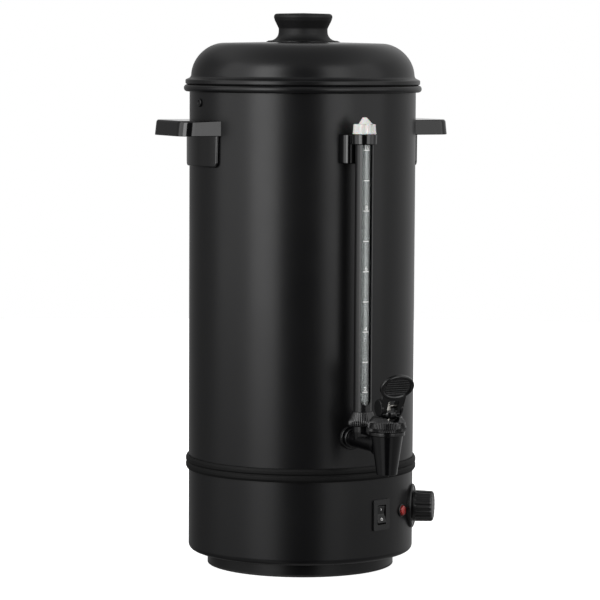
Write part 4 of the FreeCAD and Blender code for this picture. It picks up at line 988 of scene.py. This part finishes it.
class URN_OT_tap(bpy.types.Operator):
    """Make the tap with its tee, bonnet, stem and lever"""
    bl_idname = "urn.tap"
    bl_label = "Tap"

    def execute(self, context):
        finish = context.scene.urn_finish
        steps = context.scene.urn_sizes.small_steps
        gloss = tap_moulding(finish)
        piece("tap_spout", self.spout(steps), "urn_body", "black_moulding", [gloss], "tap_body")
        piece("tap_bonnet_knurled", self.bonnet(), "urn_body", "black_moulding", [gloss],
              "tap_bonnet")
        piece("tap_lever_moulded", self.lever(), "lever", "black_moulding", [gloss], "tap_lever")
        dress(gloss, "tap_shank")
        dress(satin_moulding(finish), "shank_nut")
        dress(stainless_sheet(finish), "tap_stem", "lever_pin")
        spring = piece("tap_spring_wound", copied("tap_spring"), "stem", "stainless_steel",
                       [stainless_sheet(finish)], "tap_spring")
        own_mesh(spring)
        return {"FINISHED"}

    def spout(self, steps):
        low, high = span("tap_body")
        ring = high.z - 4.6
        cone = turned([(6.8, low.z, 0.5), (9.3, low.z, 0.8), (14.5, ring - 3.9, 0.3),
                       (16.2, ring - 3.3, 0.7), (16.2, ring, 0.7), (13, ring, 0), (13, high.z, 0.5),
                       (9.4, high.z, 0), (9.4, 126, 1), (4.5, 126, 0.3), (4.5, 121, 0.3),
                       (6.8, 121, 1.5)], steps, 0, TAP_Y)
        way_in = moved(cylinder(4.2, 5, 20, 48), Matrix.Translation((0, TAP_Y, SHANK_Z)) @ ALONG_Y)
        socket = turned([(4.2, 10.2, 0), (10.4, 10.2, 0), (10.4, 16, 0.8), (8.05, 16, 0.3),
                         (8.05, 11.4, 0), (4.2, 11.4, 0)], steps)
        moved(socket, Matrix.Translation((0, TAP_Y, SHANK_Z)) @ ALONG_Y)
        return joined(combined(cone, "DIFFERENCE", way_in), socket)

    def bonnet(self):
        low, high = span("tap_bonnet")
        dome = turned([(13.05, low.z, 0), (17.3, low.z, 0.5), (17.75, low.z + 3.5, 2.5),
                       (16.4, low.z + 8.7, 4), (13.2, high.z, 1.2), (3.08, high.z, 0.3),
                       (3.08, 154.4, 0), (8.6, 154.4, 0), (8.6, 153, 0), (13.05, 153, 0)],
                      384, 0, TAP_Y)

        def press(z):
            if z < low.z + 0.7:
                return 0
            return 0.95 * min(1, max(0, (high.z - 2.5 - z) / 3))
        fluted(dome, 0, TAP_Y, 64, 13.5, press)
        scoop = moved(cylinder(7.9, -20, 9), Matrix.Translation((0, TAP_Y, 165.5)) @ ALONG_Y)
        bowl = turned([(0, 158.6, 0), (8.2, 158.6, 1.5), (8.2, 165, 0), (0, 165, 0)], 96, 0, TAP_Y)
        return combined(dome, "DIFFERENCE", scoop, bowl)

    def lever(self):
        front = -1.35
        rear = 1.4
        lean = (Matrix.Translation((0, LEVER_FOOT.y, LEVER_FOOT.z))
                @ Matrix.Rotation(LEVER_LEAN, 4, "X"))
        web = prism([(-11, -1.8, 1.5), (11, -1.8, 1.5), (11.3, 22.6, 0), (-11.3, 22.6, 0)],
                    lambda x, z: Vector((x, front, z)), Vector((0, rear - front, 0)))
        window = prism([(-5.25, 2.6, 2), (5.25, 2.6, 2), (5.25, 14.4, 2), (-5.25, 14.4, 2)],
                       lambda x, z: Vector((x, front - 1, z)), Vector((0, rear - front + 2, 0)))
        web = softened(combined(web, "DIFFERENCE", window), 0.6, 3)
        web = combined(moved(web, lean), "DIFFERENCE", *self.stem_rooms())
        struts = [cuboid((x, front + 0.2, -0.8), (x + CHEEK - 0.5, rear + 5.5, 14.3))
                  for x in (-10.9, 11.4 - CHEEK)]
        for strut in struts:
            softened(strut, 0.6, 3)
        room = Matrix.Translation((0, LEVER_FOOT.y, LEVER_FOOT.z))
        cross = turned([(0, -10.4, 0), (1.7, -10.4, 0.4), (1.7, 10.4, 0.4), (0, 10.4, 0)], 48)
        cross = combined(moved(cross, room @ ALONG_X), "DIFFERENCE", *self.stem_rooms())
        heel = bmesh.new()
        bmesh.ops.create_uvsphere(heel, u_segments=64, v_segments=32, radius=6.8,
                                  matrix=Matrix.Translation((0, TAP_Y - 4.6, LEVER_FOOT.z + 0.1)))
        top = cuboid((-10, TAP_Y - 20, LEVER_FOOT.z + 1.6), (10, TAP_Y + 10, LEVER_FOOT.z + 10))
        heel = combined(heel, "DIFFERENCE", top, *self.stem_rooms())
        cheeks = []
        for x in (-11.3, 11.3 - CHEEK):
            disc = turned([(0, 0, 0), (7.8, 0, 1.0), (7.8, CHEEK, 1.0), (0, CHEEK, 0)], 96)
            cheeks.append(moved(disc, Matrix.Translation((x, TAP_Y - 3.5, PIN_Z)) @ ALONG_X))
        leaning = moved(joined(self.pad(), *struts), lean)
        return joined(web, leaning, cross, heel, *cheeks)

    def pad(self):
        """Oval thumb pad, dished and ribbed, standing on the web."""
        half_w = 16.8
        half_l = 12.4
        pad = bmesh.new()
        bmesh.ops.create_circle(pad, cap_ends=True, radius=1, segments=128)
        moved(pad, Matrix.Diagonal((half_w, half_l, 1, 1)))
        face = pad.faces[:]
        pushed = bmesh.ops.extrude_face_region(pad, geom=face)["geom"]
        verts = [g for g in pushed if isinstance(g, bmesh.types.BMVert)]
        bmesh.ops.translate(pad, vec=(0, 0, 4.05), verts=verts)
        bmesh.ops.recalc_face_normals(pad, faces=pad.faces)
        softened(pad, 1.3, 5, lambda edge: level_with(edge, 0) or level_with(edge, 4.05))
        dish = [face for face in pad.faces if len(face.verts) == 128 and face.normal.z > 0.9]
        for thickness, depth in ((0.7, 0), (0.25, -0.12), (0.3, -0.4), (0.5, -0.35), (0.9, -0.3),
                                 (1.4, -0.2), (2.0, -0.1)):
            bmesh.ops.inset_region(pad, faces=dish, thickness=thickness, depth=depth,
                                   use_even_offset=True)
        ribs = []
        for k in range(7):
            z = 2.35 * (k - 3)
            reach = (half_w - 4.6) * math.sqrt(1 - (z / (half_l - 2)) ** 2)
            rib = turned([(0, -reach, 0), (0.6, -reach, 0.5), (0.6, reach, 0.5), (0, reach, 0)], 16)
            ribs.append(moved(rib, Matrix.Translation((0, z, 4.05 - 1.2)) @ ALONG_X))
        place = Matrix.Translation((0, 1.8, 28.65)) @ LAID_FORWARD
        return moved(joined(pad, *ribs), place)

    @staticmethod
    def stem_rooms():
        """Room that the lever leaves for the stem, at rest and through its travel."""
        room = 3.35
        turn = (Matrix.Translation((0, TAP_Y, PIN_Z)) @ Matrix.Rotation(-LEVER_TRAVEL, 4, "X")
                @ Matrix.Translation((0, -TAP_Y, -PIN_Z)))
        tang = cuboid((-room, TAP_Y - 1.95, 158.2), (room, TAP_Y + 12, PIN_Z))
        stem = cuboid((-room, TAP_Y - room, 140), (room, TAP_Y + 12, 159.5))
        rest = cuboid((-room, TAP_Y - 5.8, 140), (room, TAP_Y + 12, PIN_Z + 6))
        return [moved(tang, turn), moved(stem, turn), rest]


class URN_OT_controls(bpy.types.Operator):
    """Make the dial, pilot lamp, power switch and mains inlet"""
    bl_idname = "urn.controls"
    bl_label = "Controls"

    def execute(self, context):
        finish = context.scene.urn_finish
        satin = satin_moulding(finish)
        steps = context.scene.urn_sizes.shell_steps
        piece("dial_bezel_moulded", self.bezel(steps), "urn_body", "black_moulding", [satin],
              "dial_bezel")
        piece("dial_marks", self.dial_marks(), "urn_body", "frosted_cap", [gauge_ink(finish)])
        piece("dial_knob_fluted", self.knob(), "dial", "black_moulding", [satin], "dial_knob")
        line = softened(cuboid((-12, -0.5, 128.4), (-4.8, 0.5, 128.75)), 0.1, 2)
        piece("dial_pointer", on_side(moved(line, ALONG_X), DIAL_TURN, CONTROL_Z), "dial",
              "frosted_cap", [gauge_ink(finish)])
        self.lamp(finish)
        piece("switch_frame", softened(copied("switch_housing"), 0.35, 3), "urn_body",
              "black_moulding", [satin], "switch_housing")
        piece("switch_rocker_moulded", softened(copied("switch_rocker"), 0.5, 3), "rocker",
              "black_moulding", [gloss_moulding(finish)], "switch_rocker")
        piece("switch_marks", self.switch_marks(), "rocker", "frosted_cap", [gauge_ink(finish)])
        piece("mains_inlet_moulded", softened(copied("mains_inlet"), 0.4, 3), "urn_body",
              "black_moulding", [satin], "mains_inlet")
        dress(brass(finish), "inlet_pins")
        return {"FINISHED"}

    def bezel(self, steps):
        disc = turned([(8.6, 98, 0), (21, 98, 0), (21, 109.8, 0.7), (19.8, 109.8, 0.1),
                       (19.8, 110.3, 0.25), (18.4, 110.3, 0.25), (18.4, 109.8, 0.1),
                       (8.6, 109.8, 0.3)], 144)
        disc = combined(moved(disc, ALONG_X), "DIFFERENCE", cylinder(SKIRT_FIT, -60, 60, steps))
        return on_side(disc, DIAL_TURN, CONTROL_Z)

    def dial_marks(self):
        """Eleven marks from the pointer's place at rest, along the dial's travel."""
        ticks = []
        for k in range(11):
            tick = cuboid((-17.9, -0.3, 109.6), (-16.2, 0.3, 109.9))
            ticks.append(moved(tick, Matrix.Rotation(math.radians(27 * k), 4, "Z")))
        return on_side(moved(joined(*ticks), ALONG_X), DIAL_TURN, CONTROL_Z)

    def knob(self):
        front = 130.2
        base = 110.5
        knob = turned([(0, 124.5, 0), (3.05, 124.5, 0), (3.05, base + 1.2, 0),
                       (10.2, base + 1.2, 0), (10.2, base, 0), (15, base, 0.5),
                       (14.93, base + 2.6, 0.2), (14.9, base + 3.4, 0), (14.5, front - 1.2, 2.4),
                       (0, front, 0)], 216)
        fluted(knob, 0, 0, 18, 11, lambda z: 0.75 if z > base + 3 else 0)
        groove = softened(cuboid((-12.4, -0.8, 128.5), (-4.4, 0.8, 134)), 0.2, 2)
        knob = combined(knob, "DIFFERENCE", groove)
        return on_side(moved(knob, ALONG_X), DIAL_TURN, CONTROL_Z)

    def lamp(self, finish):
        holder = turned([(4.4, 107.2, 0), (6.2, 107.2, 0), (6.2, 109.2, 0.7), (4.95, 109.2, 0.2),
                         (4.95, 108.2, 0), (4.4, 108.2, 0)], 72)
        lens = turned([(0, 107.3, 0), (4.85, 107.3, 0), (4.85, 109.4, 0.3), (4.6, 111.2, 1.8),
                       (0, 111.8, 0)], 144)
        fluted(lens, 0, 0, 18, 3.4, lambda z: 0.25 if z > 109 else 0)
        body = [cylinder(4.35, 83, 107.25, 48)]
        for y in (-2.4, 2.4):
            body.append(softened(cuboid((-2.4, y - 0.4, 76), (2.4, y + 0.4, 84)), 0.1, 1))
        for name, shape, slot, material in (
                ("lamp_holder", joined(holder, *body), "black_moulding", satin_moulding(finish)),
                ("lamp_lens_ribbed", lens, "lamp_lens", lamp_lens(finish))):
            on_side(moved(shape, ALONG_X), LAMP_TURN, CONTROL_Z)
            piece(name, shape, "urn_body", slot, [material], "pilot_lamp")

    def switch_marks(self):
        """A bar for on and a ring for off, on the two ends of the rocker."""
        bar = softened(cuboid((-0.25, -0.3, -1.3), (0.08, 0.3, 1.3)), 0.05, 1)
        ring = turned([(0.95, -0.25, 0), (1.35, -0.25, 0), (1.35, 0.08, 0), (0.95, 0.08, 0)], 48)
        moved(ring, ALONG_X)
        slope = math.atan2(1.7, 8.6)
        marks = []
        for shape, z, lean in ((bar, 4.6, slope), (ring, -4.6, -slope)):
            place = Matrix.Translation((108.77, 0, z)) @ Matrix.Rotation(lean, 4, "Y")
            marks.append(moved(shape, place))
        tip = (Matrix.Translation((ROCKER_PIVOT, 0, 0)) @ Matrix.Rotation(-ROCKER_TILT, 4, "Y")
               @ Matrix.Translation((-ROCKER_PIVOT, 0, 0)))
        return on_side(moved(joined(*marks), tip), SWITCH_TURN, CONTROL_Z)


class URN_OT_inside(bpy.types.Operator):
    """Finish what the urn holds inside and its fasteners"""
    bl_idname = "urn.inside"
    bl_label = "Inside"

    def execute(self, context):
        finish = context.scene.urn_finish
        dress(zinc_plate(finish), "bottom_screws", "bottom_nuts", "handle_screws", "bracket_screws",
              "dial_shaft", "regulator_nut", "inlet_screws", "element_nuts")
        dress(rubber(finish), "handle_seals", "bracket_seals", "gauge_seals", "shank_seals",
              "seat_cup")
        dress(stainless_sheet(finish), "heating_element")
        dress(brass(finish), "element_bushes")
        dress(phenolic(finish), "heat_regulator", "boil_dry_cutout", "terminal_block")
        dress(braided_sleeve(finish), "base_wiring")
        return {"FINISHED"}


class URN_OT_studio(bpy.types.Operator):
    """Make the floor, the camera and the soft lights"""
    bl_idname = "urn.studio"
    bl_label = "Studio"

    def execute(self, context):
        scene = context.scene
        studio = scene.urn_studio
        self.camera(scene, studio)
        self.floor(scene, studio)
        for turn, width, light in SOFTBOXES:
            self.softbox(scene, studio, math.radians(turn), math.radians(width), light)
        self.room(scene, studio)
        scene.view_settings.view_transform = "Standard"
        return {"FINISHED"}

    @staticmethod
    def heading(turn):
        """Level way from the urn's axis to a turn from its front."""
        return Vector((math.sin(turn), -math.cos(turn), 0))

    def camera(self, scene, studio):
        level = -self.heading(studio.camera_turn + studio.camera_yaw)
        ahead = level * math.cos(studio.camera_pitch) - UP * math.sin(studio.camera_pitch)
        right = level.cross(UP)
        above = right.cross(ahead)
        lean = studio.camera_roll
        right, above = (right * math.cos(lean) + above * math.sin(lean),
                        above * math.cos(lean) - right * math.sin(lean))
        camera = bpy.data.cameras.new("photo_camera")
        camera.lens = studio.lens
        camera.sensor_width = 36
        holder = bpy.data.objects.new("photo_camera", camera)
        place = self.heading(studio.camera_turn) * studio.camera_reach + UP * studio.camera_height
        turn = Matrix((right, above, -ahead)).transposed()
        holder.matrix_world = Matrix.Translation(place) @ turn.to_4x4()
        scene.collection.objects.link(holder)
        scene.camera = holder

    def floor(self, scene, studio):
        bm = bmesh.new()
        bmesh.ops.create_circle(bm, cap_ends=True, radius=2.6, segments=96)
        floor = bpy.data.objects.new("studio_floor", meshed(bm, "studio_floor"))
        floor.location.z = -0.0003
        scene.collection.objects.link(floor)
        floor.data.materials.append(floor_lacquer(scene.urn_finish))
        floor.visible_glossy = False
        floor.visible_diffuse = False
        floor.hide_render = not studio.show_floor

    def softbox(self, scene, studio, turn, width, strength):
        light = bpy.data.lights.new("softbox", "AREA")
        light.shape = "RECTANGLE"
        light.size = 2 * studio.box_reach * math.tan(width / 2)
        light.size_y = studio.box_height
        light.energy = math.pi * light.size * light.size_y * strength * studio.box_light
        box = bpy.data.objects.new("softbox", light)
        way = self.heading(studio.camera_turn + turn)
        place = way * studio.box_reach + UP * (studio.box_height / 2 + 0.02)
        aim = way.to_track_quat("Z", "Y").to_matrix().to_4x4()
        box.matrix_world = Matrix.Translation(place) @ aim
        box.visible_camera = False
        scene.collection.objects.link(box)

    def room(self, scene, studio):
        world = bpy.data.worlds.new("studio_room")
        world.use_nodes = True
        scene.world = world
        tree = world.node_tree
        way = add(tree, "TexCoord").outputs["Generated"]
        ahead = self.heading(studio.camera_turn)
        across = add(tree, "VectorMath", {0: way, 1: ahead.cross(-UP)},
                     operation="DOT_PRODUCT").outputs["Value"]
        along = add(tree, "VectorMath", {0: way, 1: ahead},
                    operation="DOT_PRODUCT").outputs["Value"]
        height = add(tree, "SeparateXYZ", {"Vector": way}).outputs["Z"]
        turn = add(tree, "Math", {0: across, 1: along}, operation="ARCTAN2")
        share = add(tree, "MapRange", {"Value": turn, "From Min": -math.pi, "From Max": math.pi})
        ramp = add(tree, "ValToRGB", {"Fac": share})
        stops = ramp.color_ramp.elements
        while len(stops) < len(ROOM):
            stops.new(0.5)
        for stop, (place, light) in zip(stops, ROOM):
            stop.position = place / 360 + 0.5
            stop.color = (light, light, light, 1)
        high = add(tree, "MapRange", {"Value": height, "From Min": 0.45, "From Max": 0.75},
                   interpolation_type="SMOOTHSTEP")
        aside = add(tree, "Math", {0: across, 1: 2.0}, operation="POWER")
        upper = add(tree, "Math", {0: aside, 1: studio.upper_sides, 2: studio.overhead},
                    operation="MULTIPLY_ADD")
        level = add(tree, "MixRGB", {"Fac": high, "Color1": ramp, "Color2": upper})
        fall = add(tree, "MapRange", {"Value": height, "From Min": -0.35, "From Max": 0.0,
                                      "To Min": studio.underneath})
        level = add(tree, "MixRGB", {"Fac": 1.0, "Color1": level, "Color2": fall},
                    blend_type="MULTIPLY")
        seen = add(tree, "LightPath").outputs["Is Camera Ray"]
        colour = add(tree, "MixRGB", {"Fac": seen, "Color1": level, "Color2": (1, 1, 1, 1)})
        fed(tree.nodes["Background"], {"Color": colour, "Strength": studio.room_light})


OPERATORS = (URN_OT_studio, URN_OT_tank, URN_OT_base, URN_OT_lid, URN_OT_handles, URN_OT_gauge,
             URN_OT_tap, URN_OT_controls, URN_OT_inside)


class URN_PT_panel(bpy.types.Panel):
    """List of the urn's pieces in the 3D view's sidebar"""
    bl_idname = "URN_PT_panel"
    bl_label = "Hot water urn"
    bl_space_type = "VIEW_3D"
    bl_region_type = "UI"
    bl_category = "Urn"

    def draw(self, context):
        for operator in OPERATORS:
            self.layout.operator(operator.bl_idname)
        for group in (context.scene.urn_finish, context.scene.urn_sizes, context.scene.urn_studio):
            box = self.layout.box()
            for name in group.bl_rna.properties.keys():
                if name not in ("rna_type", "name"):
                    box.prop(group, name)


CLASSES = (UrnFinish, UrnSizes, UrnStudio) + OPERATORS + (URN_PT_panel,)


def register():
    for cls in CLASSES:
        bpy.utils.register_class(cls)
    bpy.types.Scene.urn_finish = PointerProperty(type=UrnFinish)
    bpy.types.Scene.urn_sizes = PointerProperty(type=UrnSizes)
    bpy.types.Scene.urn_studio = PointerProperty(type=UrnStudio)


def unregister():
    del bpy.types.Scene.urn_studio
    del bpy.types.Scene.urn_sizes
    del bpy.types.Scene.urn_finish
    for cls in reversed(CLASSES):
        bpy.utils.unregister_class(cls)


def main():
    register()
    for operator in OPERATORS:
        group, name = operator.bl_idname.split(".")
        getattr(getattr(bpy.ops, group), name)()


if __name__ == "__main__":
    main()
